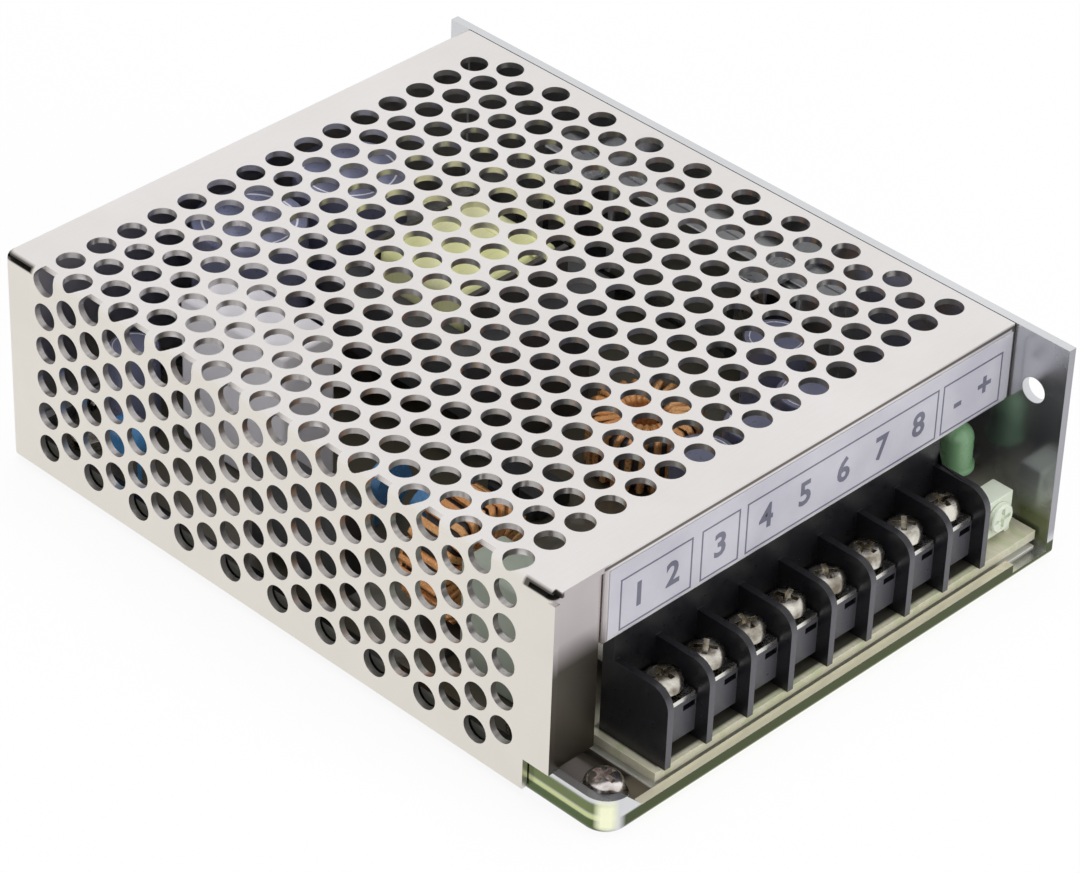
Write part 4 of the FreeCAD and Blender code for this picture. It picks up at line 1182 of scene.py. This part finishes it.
@dataclass
class TerminalBlock:
    """The moulded housing with its barriers, and the screws and clamps in its poles."""

    poles: int = 8
    pitch: float = 8.5
    barrier: float = 1.2
    barrier_corner: float = 3.4
    pole_front: float = -60.6
    deck: float = 12.4
    undercut: float = 1.4
    undercut_depth: float = 2.0
    wall: float = 2.2
    barrier_top: float = 18.1
    barrier_setback: float = 0.4
    mould_round: float = 0.18
    well_half: float = 2.3
    well_y: Pair = (-59.8, -54.0)  # its front and rear
    lug_notch: Pair = (2.6, 1.0)  # its width and height
    lug_notch_rim: Pair = (0.15, 0.8)  # what is left beside it and over it
    screw_y: float = -57.5
    screw_turn_step: int = 37  # degrees from one screw's cross to the next
    head_radius: float = 2.9
    head_height: float = 2.3
    # The head's rings, as shares of its radius and height
    crown: tuple[Pair, ...] = ((1.0, 0.42), (0.96, 0.68), (0.84, 0.88), (0.62, 0.97), (0.3, 1.0))
    recess: Point = (1.75, 0.42, 1.2)  # half a bar's length, half its width, its depth
    screw_length: float = 6.6
    thread: Point = (0.6, 1.32, 1.6)  # pitch, root radius and crest radius
    clamp_thickness: float = 0.9
    clamp_hole: float = 1.68
    rib: Pair = (0.35, 0.18)  # width and depth
    low: Vector = field(init=False)
    high: Vector = field(init=False)

    def __post_init__(self) -> None:
        """Read the housing's corners."""
        self.low, self.high = corners("terminal_block")

    def pole_x(self, pole: int) -> float:
        """Return where a pole stands."""
        return (pole - (self.poles - 1) / 2) * self.pitch

    def build(self) -> None:
        """Mould the housing, then fit each pole."""
        self.housing()
        screw, clamp = self.pan_screw(), self.clamp_plate()
        for pole in range(self.poles):
            x, number = self.pole_x(pole), pole + 1
            turn = Matrix.Rotation(math.radians(self.screw_turn_step * pole % 90), 4, "Z")
            place = shift(x, self.screw_y, 0)
            settle(copied(screw, f"pan_screw_{number}", place @ turn), Finishes.PLATED, f"screw_{number}",
                   [f"terminal_screw_{number}"])
            settle(copied(clamp, f"clamp_plate_{number}", shift(x, 0, 0)), Finishes.PLATED, f"clamp_{number}",
                   [f"terminal_clamp_{number}"])
        for model in (screw, clamp):
            bpy.data.objects.remove(model)
        coat_node("terminal_contacts", Finishes.TINNED)

    def housing(self) -> None:
        """Mould the housing: a stepped body with wells, nine barriers and a back wall."""
        low, high = self.low, self.high
        body_section = [(self.pole_front, low.z + self.undercut), (self.pole_front, self.deck),
                        (high.y - self.wall, self.deck), (high.y - self.wall, high.z), (high.y, high.z),
                        (high.y, low.z), (self.pole_front + self.undercut_depth, low.z),
                        (self.pole_front + self.undercut_depth, low.z + self.undercut)]
        core = traced("block_core", [(low.x, y, z) for y, z in body_section], (high.x - low.x, 0, 0))
        wells = []
        (front, rear), (notch_width, notch_height) = self.well_y, self.lug_notch
        side_rim, rim = self.lug_notch_rim
        for pole in range(self.poles):
            x = self.pole_x(pole)
            wells.append(block(f"well_{pole}", (x - self.well_half, front, low.z - 1),
                               (x + self.well_half, rear, self.deck + 1)))
            right = x + self.pitch / 2 - self.barrier / 2
            notch_low = (right - notch_width, self.pole_front - 1, self.deck - rim - notch_height)
            notch_high = (right - side_rim, self.pole_front + rim, self.deck - rim)
            wells.append(block(f"notch_{pole}", notch_low, notch_high))
        carve(core, join("well_tools", wells))
        rounding = self.barrier_corner
        corner = arc((low.y + rounding, self.barrier_top - rounding), rounding, 180, 90, 7)
        rear = high.y - self.barrier_setback
        fin_section = [(low.y, low.z), *corner, (rear, self.barrier_top), (rear, low.z)]
        fin = traced("fin", [(low.x, y, z) for y, z in fin_section], (self.barrier, 0, 0))
        fins = [copied(fin, f"fin_{i}", shift(x=i * self.pitch)) for i in range(self.poles + 1)]
        bpy.data.objects.remove(fin)
        for piece in fins:
            carve(core, piece, UNION)
        soften(core, self.mould_round, 2, 40)
        settle(smooth(core), Finishes.BLACK, replaces=["terminal_block"], name="terminal_housing")

    def pan_screw(self) -> Piece:
        """Return a pan head screw on the pole at x = 0, with a cross recess and a threaded shank.

        Returns:
            The screw.
        """
        head_foot = corners("terminal_screw_1")[0].z + self.screw_length
        radius, height = self.head_radius, self.head_height
        reach, half, depth = self.recess
        crown = [(radius * 0.965, 0.0), (radius, 0.15), *((radius * r, height * h) for r, h in self.crown)]
        head = turned("screw_head", (0, 0, head_foot), crown, 32)
        crown_top = head_foot + height
        carve(head, cross_tool((0, 0, crown_top - depth), (0, 0, crown_top + 1), reach, half))
        soften(head, 0.07, 1, 45)
        shank = turned("screw_shank", (0, 0, head_foot - self.screw_length), self.thread_profile(), 20)
        return smooth(join("pan_screw", [head, shank]))

    def thread_profile(self) -> list[Pair]:
        """Return the rings of a ridged shank, from its tip to the head.

        Returns:
            Pairs of radius and height.
        """
        pitch, root, crest = self.thread
        rings = [(1.0, 0.0), (root, 0.3)]
        z = 0.3
        while z < self.screw_length - 1.2:
            rings += [(crest, z + pitch / 2), (root, z + pitch)]
            z += pitch
        return rings + [(root, self.screw_length + 0.1)]

    def clamp_plate(self) -> Piece:
        """Return the square clamp of the pole at x = 0: a plate with a folded lip, a hole and ribs.

        Returns:
            The clamp.
        """
        low, high = corners("terminal_clamp_1")
        half = (high.x - low.x) / 2
        thick = self.clamp_thickness
        profile = [(low.y, low.z), (low.y, high.z - 0.5), *arc((low.y + 0.5, high.z - 0.5), 0.5, 170, 90, 3),
                   (high.y, high.z), (high.y, high.z - thick), (low.y + thick, high.z - thick),
                   (low.y + thick, low.z)]
        plate = traced("clamp_plate", [(-half, y, z) for y, z in profile], (2 * half, 0, 0))
        hole = turned("clamp_hole", (0, self.screw_y, low.z - 1), [(self.clamp_hole, 0), (self.clamp_hole, 5)],
                      24)
        wide, deep = self.rib
        ribs = [block(f"rib_{i}", (-half - 1, y, high.z - deep), (half + 1, y + wide, high.z + 1))
                for i, y in enumerate((high.y - 0.9, high.y - 1.7, low.y + 0.75))]
        carve(plate, join("clamp_tools", [hole, *ribs]))
        return smooth(soften(plate, 0.08, 2, 40))


# Front corner details


@dataclass
class GroundScrew:
    """The bright cross head screw on two washers in the front left corner."""

    # The head's rings, as shares of its radius and height
    crown: tuple[Pair, ...] = ((1.0, 0.3), (0.93, 0.62), (0.78, 0.86), (0.5, 0.98), (0.25, 1.0))
    recess: Point = (1.9, 0.45, 1.3)  # half a bar's length, half its width, its depth
    shank_radius: float = 1.42
    plain_thickness: float = 0.7
    edge: float = 0.12
    star_radius: float = 2.45
    teeth: int = 12
    tooth_reach: Pair = (2.2, 3.15)  # from the middle to its ends
    tooth_half: float = 0.34
    bore: float = 1.5

    def build(self) -> None:
        """Turn the head, cut its recess and stack the washers."""
        low, high = corners("ground_screw")
        washer_low, washer_high = corners("ground_washers")
        x, y = (low.x + high.x) / 2, (low.y + high.y) / 2
        self.screw(x, y, low.z, washer_high.z, high)
        self.washers(x, y, washer_low, (washer_high.x - washer_low.x) / 2)

    def screw(self, x: float, y: float, tip: float, head_foot: float, high: Vector) -> None:
        """Turn the screw.

        Args:
            x: Where its middle line stands.
            y: The same, along Y.
            tip: The height of its lower end.
            head_foot: The height of the head's underside.
            high: The screw's highest corner.
        """
        radius, height = high.x - x, high.z - head_foot
        reach, half, depth = self.recess
        head = turned("ground_head", (x, y, head_foot),
                      [(radius * 0.97, 0), (radius, self.edge),
                       *((radius * r, height * h) for r, h in self.crown)], 40)
        carve(head, cross_tool((x, y, high.z - depth), (x, y, high.z + 1), reach, half))
        soften(head, 0.08, 1, 45)
        shank = turned("ground_shank", (x, y, tip),
                       [(1.2, 0), (self.shank_radius, 0.3), (self.shank_radius, head_foot + 0.05 - tip)], 20)
        settle(smooth(join("ground_pan_screw", [head, shank])), Finishes.GROUND, replaces=["ground_screw"])

    def washers(self, x: float, y: float, low: Vector, flat: float) -> None:
        """Stack a toothed washer on a plain one.

        Args:
            x: Where their middle line stands.
            y: The same, along Y.
            low: The stack's lowest corner.
            flat: The plain washer's radius.
        """
        edge, thick, foot = self.edge, self.plain_thickness, low.z + self.plain_thickness
        plain = turned("plain_washer", (x, y, low.z),
                       [(flat - edge, 0), (flat, edge), (flat, thick - edge), (flat - edge, thick)], 40)
        star = turned("toothed_washer", (x, y, foot + 0.02),
                      [(self.star_radius, 0.1), (self.star_radius, 0.66)], 32)
        inner, outer = self.tooth_reach
        tooth = block("tooth", (x + inner, y - self.tooth_half, foot + 0.04),
                      (x + outer, y + self.tooth_half, foot + 0.74))
        for i in range(self.teeth):
            carve(star, copied(tooth, f"tooth_{i}", turned_about(x, y, 360 * i / self.teeth)), UNION)
        bpy.data.objects.remove(tooth)
        stack = join("washer_stack", [plain, star])
        carve(stack, turned("washer_bore", (x, y, low.z - 1), [(self.bore, 0), (self.bore, 4)], 24))
        settle(smooth(stack), Finishes.PLATED, replaces=["ground_washers"], name="stacked_washers")


@dataclass
class IndicatorLamp:
    """The green lamp that stands on two leads behind the trimmer."""

    radius: float = 2.5
    rim: float = 2.9
    rim_height: float = 1.0
    height: float = 8.0
    dome_angles: tuple[int, ...] = (0, 15, 30, 45, 60, 72, 82)
    lead_half_gap: float = 1.27
    lead_radius: float = 0.28

    def build(self) -> None:
        """Turn the domed lens with its rim and draw the leads."""
        low, high = corners("green_led")
        x, y = (low.x + high.x) / 2, (low.y + high.y) / 2
        foot = high.z - self.height
        dome = [(self.radius * math.cos(a), high.z - foot - self.radius + self.radius * math.sin(a))
                for a in map(math.radians, self.dome_angles)]
        rim = [(self.rim - 0.1, 0), (self.rim, 0.12), (self.rim, self.rim_height)]
        lens = turned("lamp_lens", (x, y, foot), [*rim, (self.radius, self.rim_height + 0.05), *dome], 36)
        leads = [wire(f"lamp_lead_{i}", [(at, y, low.z), (at, y, foot + 0.4)], self.lead_radius)
                 for i, at in enumerate((x + self.lead_half_gap, x - self.lead_half_gap))]
        lead_metal = Finishes.TINNED.build()
        for lead in leads:
            lead.data.materials.append(lead_metal)
        lens.data.materials.append(Finishes.LENS.build())
        settle(smooth(join("domed_lamp", [lens, *leads])), Finishes.LENS, replaces=["green_led"])


@dataclass
class Trimmer:
    """The pale trimmer: a moulded body and a rotor with a cross slot that turns about Y."""

    hole_radius: float = 1.12
    dish_radius: float = 2.75
    dish_depth: float = 0.25
    foot: Pair = (1.2, 0.5)  # a stand-off's width and height
    face_depth: float = 1.0
    face_edge: float = 0.2
    slot: Point = (1.75, 0.36, 0.55)  # half a bar's length, half its width, its depth
    shaft_radius: float = 0.98
    shaft_from: float = 0.9

    def build(self) -> None:
        """Mould the body with its stand-offs and turn the rotor."""
        low, high = corners("trimmer_body")
        x = (low.x + high.x) / 2
        r_low, r_high = corners("trimmer_rotor")
        z = (r_low.z + r_high.z) / 2
        body = block("trimmer_case", low, high)
        wide, tall = self.foot
        start, hole, dish = (x, low.y - 1, z), self.hole_radius, self.dish_radius
        tools = [turned("shaft_hole", start, [(hole, 0), (hole, 8)], 24, Axis.Y),
                 turned("dish", start, [(dish, 0), (dish, 1 + self.dish_depth)], 32, Axis.Y),
                 block("foot_gap", (low.x + wide, low.y - 1, low.z - 1),
                       (high.x - wide, high.y + 1, low.z + tall))]
        carve(body, join("trimmer_tools", tools))
        settle(smooth(soften(body, 0.22, 2, 40)), Finishes.WHITE, replaces=["trimmer_body"],
               name="trimmer_case")
        radius, edge = (r_high.x - r_low.x) / 2, self.face_edge
        face = turned("rotor_face", (x, r_low.y, z),
                      [(radius - edge, 0), (radius, edge), (radius, self.face_depth)], 32, Axis.Y)
        reach, half, depth = self.slot
        carve(face, cross_tool((x, r_low.y - 1, z), (x, r_low.y + depth, z), reach, half, Axis.Y))
        length = r_high.y - r_low.y - self.shaft_from
        shaft = turned("rotor_shaft", (x, r_low.y + self.shaft_from, z),
                       [(self.shaft_radius, 0), (self.shaft_radius, length)], 20, Axis.Y)
        settle(smooth(soften(join("rotor", [face, shaft]), 0.05, 1, 50)), Finishes.WHITE, "trimmer_rotor",
               ["trimmer_rotor"], name="slotted_rotor")


@dataclass
class LabelStrip:
    """The printed strip on the flange: thin frames and plain numbers, one number to a terminal."""

    thickness: float = 0.12
    film_margins: tuple[float, float, float, float] = (10.6, 0.3, 13.1, 1.3)  # left, right, bottom, top
    film_corner: float = 0.25
    line: float = 0.28
    ink_relief: float = 0.03
    ink_offset: float = 0.14
    bottom: float = 25.3
    top: float = 34.1
    frames: tuple[Pair, ...] = ((-36.2, -21.7), (-19.9, -12.0), (-10.6, 30.6), (31.6, 45.0))
    digit_height: float = 4.2
    numbers: tuple[tuple[str, float], ...] = (
        ("1", -32.4), ("2", -25.6), ("3", -15.95), ("4", -6.4), ("5", 1.8), ("6", 10.0), ("7", 18.2),
        ("8", 26.4), ("-", 35.2), ("+", 41.2))

    def build(self) -> None:
        """Lay the film, then print its frames and numbers."""
        low, high = corners("mesh_cover")
        front = low.y
        left, right, below, above = self.film_margins
        film = block("label_film", (low.x + left, front - self.thickness, high.z - below),
                     (high.x - right, front + 0.02, high.z - above))
        soften(film, self.film_corner, 3, 60)
        settle(smooth(film), Finishes.LABEL, name="label_strip")
        print_y = front - self.thickness
        marks = [self.frame_line(f"frame_{i}", span, print_y) for i, span in enumerate(self.frames)]
        marks += [self.digit(text, x, print_y) for text, x in self.numbers]
        settle(join("label_print", marks), Finishes.INK, name="label_print")

    def frame_line(self, name: str, span: Pair, y: float) -> Piece:
        """Return a thin printed rectangle.

        Args:
            name: The frame's name.
            span: Where it begins and ends along X.
            y: The film's front.

        Returns:
            The frame.
        """
        (x0, x1), z0, z1, line = span, self.bottom, self.top, self.line
        outer = block(name, (x0, y - self.ink_relief, z0), (x1, y + 0.01, z1))
        inner = block(name + "_inside", (x0 + line, y - 1, z0 + line), (x1 - line, y + 1, z1 - line))
        return carve(outer, inner)

    def digit(self, text: str, x: float, y: float) -> Piece:
        """Return one raised numeral of ink, centred on a terminal.

        Args:
            text: What it reads.
            x: Its middle.
            y: The film's front.

        Returns:
            The numeral.
        """
        bpy.ops.object.select_all(action="DESELECT")
        bpy.ops.object.text_add(location=(0, 0, 0))
        numeral = bpy.context.object
        numeral.data.body = text
        numeral.data.size = self.digit_height * 1.35 * MM
        numeral.data.align_x = "CENTER"
        numeral.data.align_y = "CENTER"
        numeral.data.extrude = 0.02 * MM
        numeral.data.offset = self.ink_offset * MM
        numeral.data.resolution_u = 3
        only(numeral)
        bpy.ops.object.convert(target="MESH")
        numeral = bpy.context.object
        numeral.matrix_world = (Matrix.Translation(Vector((x, y - 0.015, (self.bottom + self.top) / 2)) * MM)
                                @ Matrix.Rotation(math.pi / 2, 4, "X"))
        return bake(numeral)


# Parts on the board


@dataclass
class Can:
    """One electrolytic capacitor: a sleeved can with a rolled neck, a bare top and scored vents."""

    name: str
    x: float
    y: float
    foot: float
    radius: float
    height: float
    scores: int = 3

    def build(self) -> Piece:
        """Return the can with its sleeve and its top in two materials.

        Returns:
            The can.
        """
        r, h = self.radius, self.height
        neck = max(1.6, h * 0.09)
        sleeve = turned(self.name, (self.x, self.y, self.foot),
                        [(r * 0.93, 0), (r, 0.4), (r, neck), (r * 0.94, neck + 0.5), (r, neck + 1.0),
                         (r, h - 0.5), (r - 0.2, h - 0.15), (r * 0.86, h), (r * 0.82, h - 0.12)], 40)
        sleeve.data.materials.append(Finishes.SLEEVE.build())
        top = turned(self.name + "_top", (self.x, self.y, self.foot + h - 0.6),
                     [(r * 0.9, 0), (r * 0.87, 0.5), (r * 0.80, 0.52), (r * 0.78, 0.36), (r * 0.3, 0.36)], 40)
        z = self.foot + h - 0.24
        scores = []
        for i in range(self.scores):
            bar = block(f"{self.name}_score_{i}", (self.x - r * 0.62, self.y - 0.12, z - 0.16),
                        (self.x + r * 0.62, self.y + 0.12, z + 1))
            bar.data.transform(turned_about(self.x, self.y, 60 * i + 15))
            scores.append(bar)
        tool = scores[0]
        for bar in scores[1:]:
            carve(tool, bar, UNION)
        carve(top, tool)
        top.data.materials.clear()
        top.data.materials.append(Finishes.CAN_TOP.build())
        return smooth(join(self.name, [sleeve, top]), 30)


@dataclass
class Capacitors:
    """All the electrolytic capacitors on the board."""

    singles: tuple[str, ...] = ("bulk_capacitor_1", "bulk_capacitor_2", "bias_capacitor")
    output_radius: float = 5.0
    output_spots: tuple[Pair, ...] = ((4.0, -33.0), (15.5, -33.0), (27.0, -33.0), (34.0, -20.0))

    def build(self) -> None:
        """Build each can in its node's box."""
        for node in self.singles:
            low, high = corners(node)
            can = Can(node + "_can", (low.x + high.x) / 2, (low.y + high.y) / 2, low.z, (high.y - low.y) / 2,
                      high.z - low.z).build()
            settle(can, Finishes.SLEEVE, replaces=[node])
        low, high = corners("output_capacitors")
        cans = [Can(f"output_can_{i}", x, y, low.z, self.output_radius, high.z - low.z).build()
                for i, (x, y) in enumerate(self.output_spots)]
        settle(join("output_cans", cans), Finishes.SLEEVE, replaces=["output_capacitors"])


@dataclass
class Ring:
    """A ring core wound with one layer of wire."""

    name: str
    core: str
    winding: str
    finish: Finish
    axis: Axis
    turns: int
    wire_radius: float
    inner: float = 4.0
    start: float = 12.0
    sweep: float = 336.0

    def build(self) -> None:
        """Round the core and wind the wire round it."""
        low, high = corners(self.core)
        middle = (low + high) / 2
        size = high - low
        width = size.y if self.axis is Axis.Y else size.z
        outer, inner = size.x / 2, self.inner
        core = turned(self.name + "_core", (0, 0, -width / 2), [(outer, 0), (outer, width)], 48)
        carve(core, turned("eye", (0, 0, -width), [(inner, 0), (inner, 3 * width)], 40))
        soften(core, 0.6, 3, 50)
        place = Matrix.Translation(middle * MM) @ self.axis.turn()
        core.data.transform(place)
        settle(smooth(core), Finishes.FERRITE, replaces=[self.core])
        half, gap = width / 2, self.wire_radius + 0.05
        turn = [(outer + gap, half), (outer - 0.2, half + gap), (inner + 0.4, half + gap),
                (inner - gap, half - 0.2), (inner - gap, -half + 0.2), (inner + 0.4, -half - gap),
                (outer - 0.2, -half - gap), (outer + gap, -half)]
        points = []
        for number in range(self.turns):
            for step, (r, z) in enumerate(turn):
                angle = math.radians(self.start + self.sweep * (number + step / len(turn)) / self.turns)
                points.append((r * math.cos(angle), r * math.sin(angle), z))
        coil = wire(self.name + "_wire", points, self.wire_radius, sides=1)
        coil.data.transform(place)
        settle(coil, self.finish, replaces=[self.winding], name=self.name + "_turns")


@dataclass
class Transformer:
    """Two ferrite halves, a bobbin with pins and a winding under layers of tape."""

    tape_round: float = 2.4
    tape_rim: float = 0.8
    seam_x: Pair = (6.2, 2.5)  # its sides, from the right
    seam_y: float = 0.3
    seam_z: Pair = (0.05, 0.10)  # into the tape and out of it

    def build(self) -> None:
        """Build the winding's rounded body with taped ends, and dress the core and bobbin."""
        low, high = corners("transformer_winding")
        tape = block("taped_winding", low, high)
        soften(tape, self.tape_round, 5, 60)
        with editing(tape):
            pick_faces(tape, lambda face: abs(face.normal.z) > 0.99 and face.calc_area() > 40 * MM * MM)
            bpy.ops.mesh.inset(thickness=self.tape_rim * MM, depth=0)
        (left, right), (sunk, proud) = self.seam_x, self.seam_z
        seam = block("tape_seam", (high.x - left, low.y + self.seam_y, high.z - sunk),
                     (high.x - right, high.y - self.seam_y, high.z + proud))
        carve(tape, soften(seam, 0.04, 1), UNION)
        settle(smooth(tape), Finishes.TAPE, replaces=["transformer_winding"])
        settle(dressed_copy("transformer_core", 0.35), Finishes.FERRITE, replaces=["transformer_core"],
               name="ferrite_halves")
        settle(dressed_copy("transformer_bobbin", 0.2), Finishes.BOBBIN, replaces=["transformer_bobbin"],
               name="bobbin_frame")


@dataclass
class SmallParts:
    """Everything else on the board, softened from its own form and coated."""

    forms: dict[str, tuple[Finish, float]] = field(default_factory=lambda: {
        "line_capacitor": (Finishes.PALE_BOX, 0.7),
        "filter_capacitor": (Finishes.GREY_BOX, 0.6),
        "y_capacitors": (Finishes.BLUE_DIP, 0.5),
        "varistor": (Finishes.BLUE_DIP, 0.6),
        "thermistor": (Finishes.DARK_DIP, 0.7),
        "bridge_rectifier": (Finishes.PACKAGE, 0.4),
        "choke_base": (Finishes.BOBBIN, 0.3),
        "fuse": (Finishes.FUSE_TUBE, 0.2),
        "heat_bar": (Finishes.BAR, 0.3),
        "thermal_pads": (Finishes.PAD, 0.08),
        "power_transistor": (Finishes.PACKAGE, 0.2),
        "output_rectifier": (Finishes.PACKAGE, 0.2),
        "spring_clips": (Finishes.STEEL, 0.2),
        "optocouplers": (Finishes.PACKAGE, 0.2),
        "board_screws": (Finishes.PLATED, 0.25),
        "board_standoffs": (Finishes.STEEL, 0.15),
        "cover_screws": (Finishes.PLATED, 0.3),
        "chassis": (Finishes.CHASSIS, 0.12),
        "insulating_sheet": (Finishes.FILM, 0.05),
        "circuit_board": (Finishes.BOARD, 0.06),
    })

    def build(self) -> None:
        """Soften and coat each part."""
        for node, (finish, width) in self.forms.items():
            settle(dressed_copy(node, width), finish, replaces=[node], name=node + "_skin")


# Studio


@dataclass
class Studio:
    """The floor, the lamps, the world and the camera.

    Attributes:
        floor_size: The floor's side, in metres.
        floor_drop: How far below the object it lies, in metres.
        floor_grey: Its own level of grey.
        floor_glow: The share of white that it shows.
        room_light: The world's strength as a light.
        lamps: Each lamp's name, place and side in metres, and its power.
        focal_pixels: The lens, in the photo's pixels.
        image_width: The photo's width, in pixels.
        heading: The camera's turn about Z, in degrees.
        elevation: How far it looks down, in degrees.
        roll: Its turn about its own line of sight, in degrees.
        position: Its place, in millimetres.
    """

    floor_size: float = 8.0
    floor_drop: float = 0.0002
    floor_grey: float = 0.88
    floor_glow: float = 0.90
    room_light: float = 0.30
    lamps: tuple[tuple[str, Point, float, float], ...] = (
        ("front_softbox", (0.35, -1.35, 0.75), 0.9, 9.0),
        ("side_softbox", (-1.25, -0.25, 0.95), 1.0, 5.0),
        ("top_softbox", (0.10, 0.20, 1.60), 1.1, 17.0),
    )
    focal_pixels: float = 4478.5
    image_width: float = 1080.0
    heading: float = 46.514
    elevation: float = 35.597
    roll: float = 2.157
    position: Point = (-396.74, -380.13, 405.44)

    def build(self) -> None:
        """Set up everything that isn't the object."""
        self.floor()
        self.world()
        for name, place, size, power in self.lamps:
            self.lamp(name, place, size, power)
        self.camera()
        bpy.context.scene.view_settings.view_transform = "Standard"

    def floor(self) -> None:
        """Lay a pale floor that keeps a soft shadow."""
        bpy.ops.object.select_all(action="DESELECT")
        bpy.ops.mesh.primitive_plane_add(size=self.floor_size, location=(0, 0, -self.floor_drop))
        floor = bpy.context.object
        floor.name = "floor"
        nodes = Nodes("floor_card")
        nodes.surface(Base_Color=(*[self.floor_grey] * 3, 1.0), Roughness=0.9)
        glow = nodes.add("ShaderNodeEmission", Color=(1.0, 1.0, 1.0, 1.0), Strength=1.0)
        mix = nodes.add("ShaderNodeMixShader")
        nodes.feed(mix.inputs[0], nodes.math("MULTIPLY", nodes.shown(), self.floor_glow))
        nodes.feed(mix.inputs[1], nodes.shader.outputs[0])
        nodes.feed(mix.inputs[2], glow.outputs[0])
        out = next(n for n in nodes.tree.nodes if n.type == "OUTPUT_MATERIAL")
        nodes.feed(out.inputs["Surface"], mix.outputs[0])
        floor.data.materials.append(nodes.material)
        floor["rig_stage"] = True

    def world(self) -> None:
        """Fill the surroundings with soft light, and show white to the camera and to gloss."""
        world = bpy.data.worlds.new("soft_room")
        bpy.context.scene.world = world
        world.use_nodes = True
        room = Tree(world.node_tree)
        shade = room.tree.nodes["Background"]
        room.feed(shade.inputs["Color"], (1.0, 1.0, 1.0, 1.0))
        room.feed(shade.inputs["Strength"], room.between(room.shown(), 0.0, 1.0, (self.room_light, 1.0)))

    def lamp(self, name: str, place: Point, size: float, power: float) -> None:
        """Hang a square soft lamp that faces the object.

        Args:
            name: The lamp's name.
            place: Where it hangs, in metres.
            size: Its side, in metres.
            power: Its power, in watts.
        """
        light = bpy.data.lights.new(name, "AREA")
        light.size = size
        light.energy = power
        lamp = bpy.data.objects.new(name, light)
        lamp.location = place
        lamp.visible_glossy = False
        lamp.rotation_euler = (-Vector(place)).to_track_quat("-Z", "Y").to_euler()
        bpy.context.scene.collection.objects.link(lamp)

    def camera(self) -> None:
        """Place the camera where the photo's was."""
        lens = bpy.data.cameras.new("view")
        lens.sensor_fit = "HORIZONTAL"
        lens.sensor_width = 36.0
        lens.lens = self.focal_pixels * lens.sensor_width / self.image_width
        lens.clip_start = 0.01
        eye = bpy.data.objects.new("view", lens)
        turn = (Matrix.Rotation(-math.radians(self.heading), 4, "Z")
                @ Matrix.Rotation(math.radians(90 - self.elevation), 4, "X")
                @ Matrix.Rotation(math.radians(self.roll), 4, "Z"))
        eye.matrix_world = Matrix.Translation(Vector(self.position) * MM) @ turn
        bpy.context.scene.collection.objects.link(eye)
        bpy.context.scene.camera = eye


def write_sizes() -> None:
    """Work out the model's box and the dressed object's box."""
    def plain(box: Iterable[Iterable[float]]) -> list[list[float]]:
        """Return a box as plain lists of numbers."""
        return [[float(value) for value in corner] for corner in box]
    {"cad": plain(MODEL_BOX), "visual": plain(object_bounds())}


def main() -> None:
    """Build the supply piece by piece, then the studio round it."""
    logging.basicConfig(level=logging.INFO, format="%(message)s")
    copper = Finishes.COPPER
    assemblies = [
        MeshCover(), TerminalBlock(), GroundScrew(), IndicatorLamp(), Trimmer(), LabelStrip(), Capacitors(),
        Ring("choke", "choke_core", "choke_winding", copper, Axis.Y, 26, 0.62),
        Ring("inductor", "output_inductor_core", "output_inductor_winding", copper, Axis.Z, 24, 0.58),
        Transformer(), SmallParts(), Studio(),
    ]
    for assembly in assemblies:
        LOG.info("building %s", type(assembly).__name__)
        assembly.build()
    write_sizes()


if __name__ == "__main__":
    main()
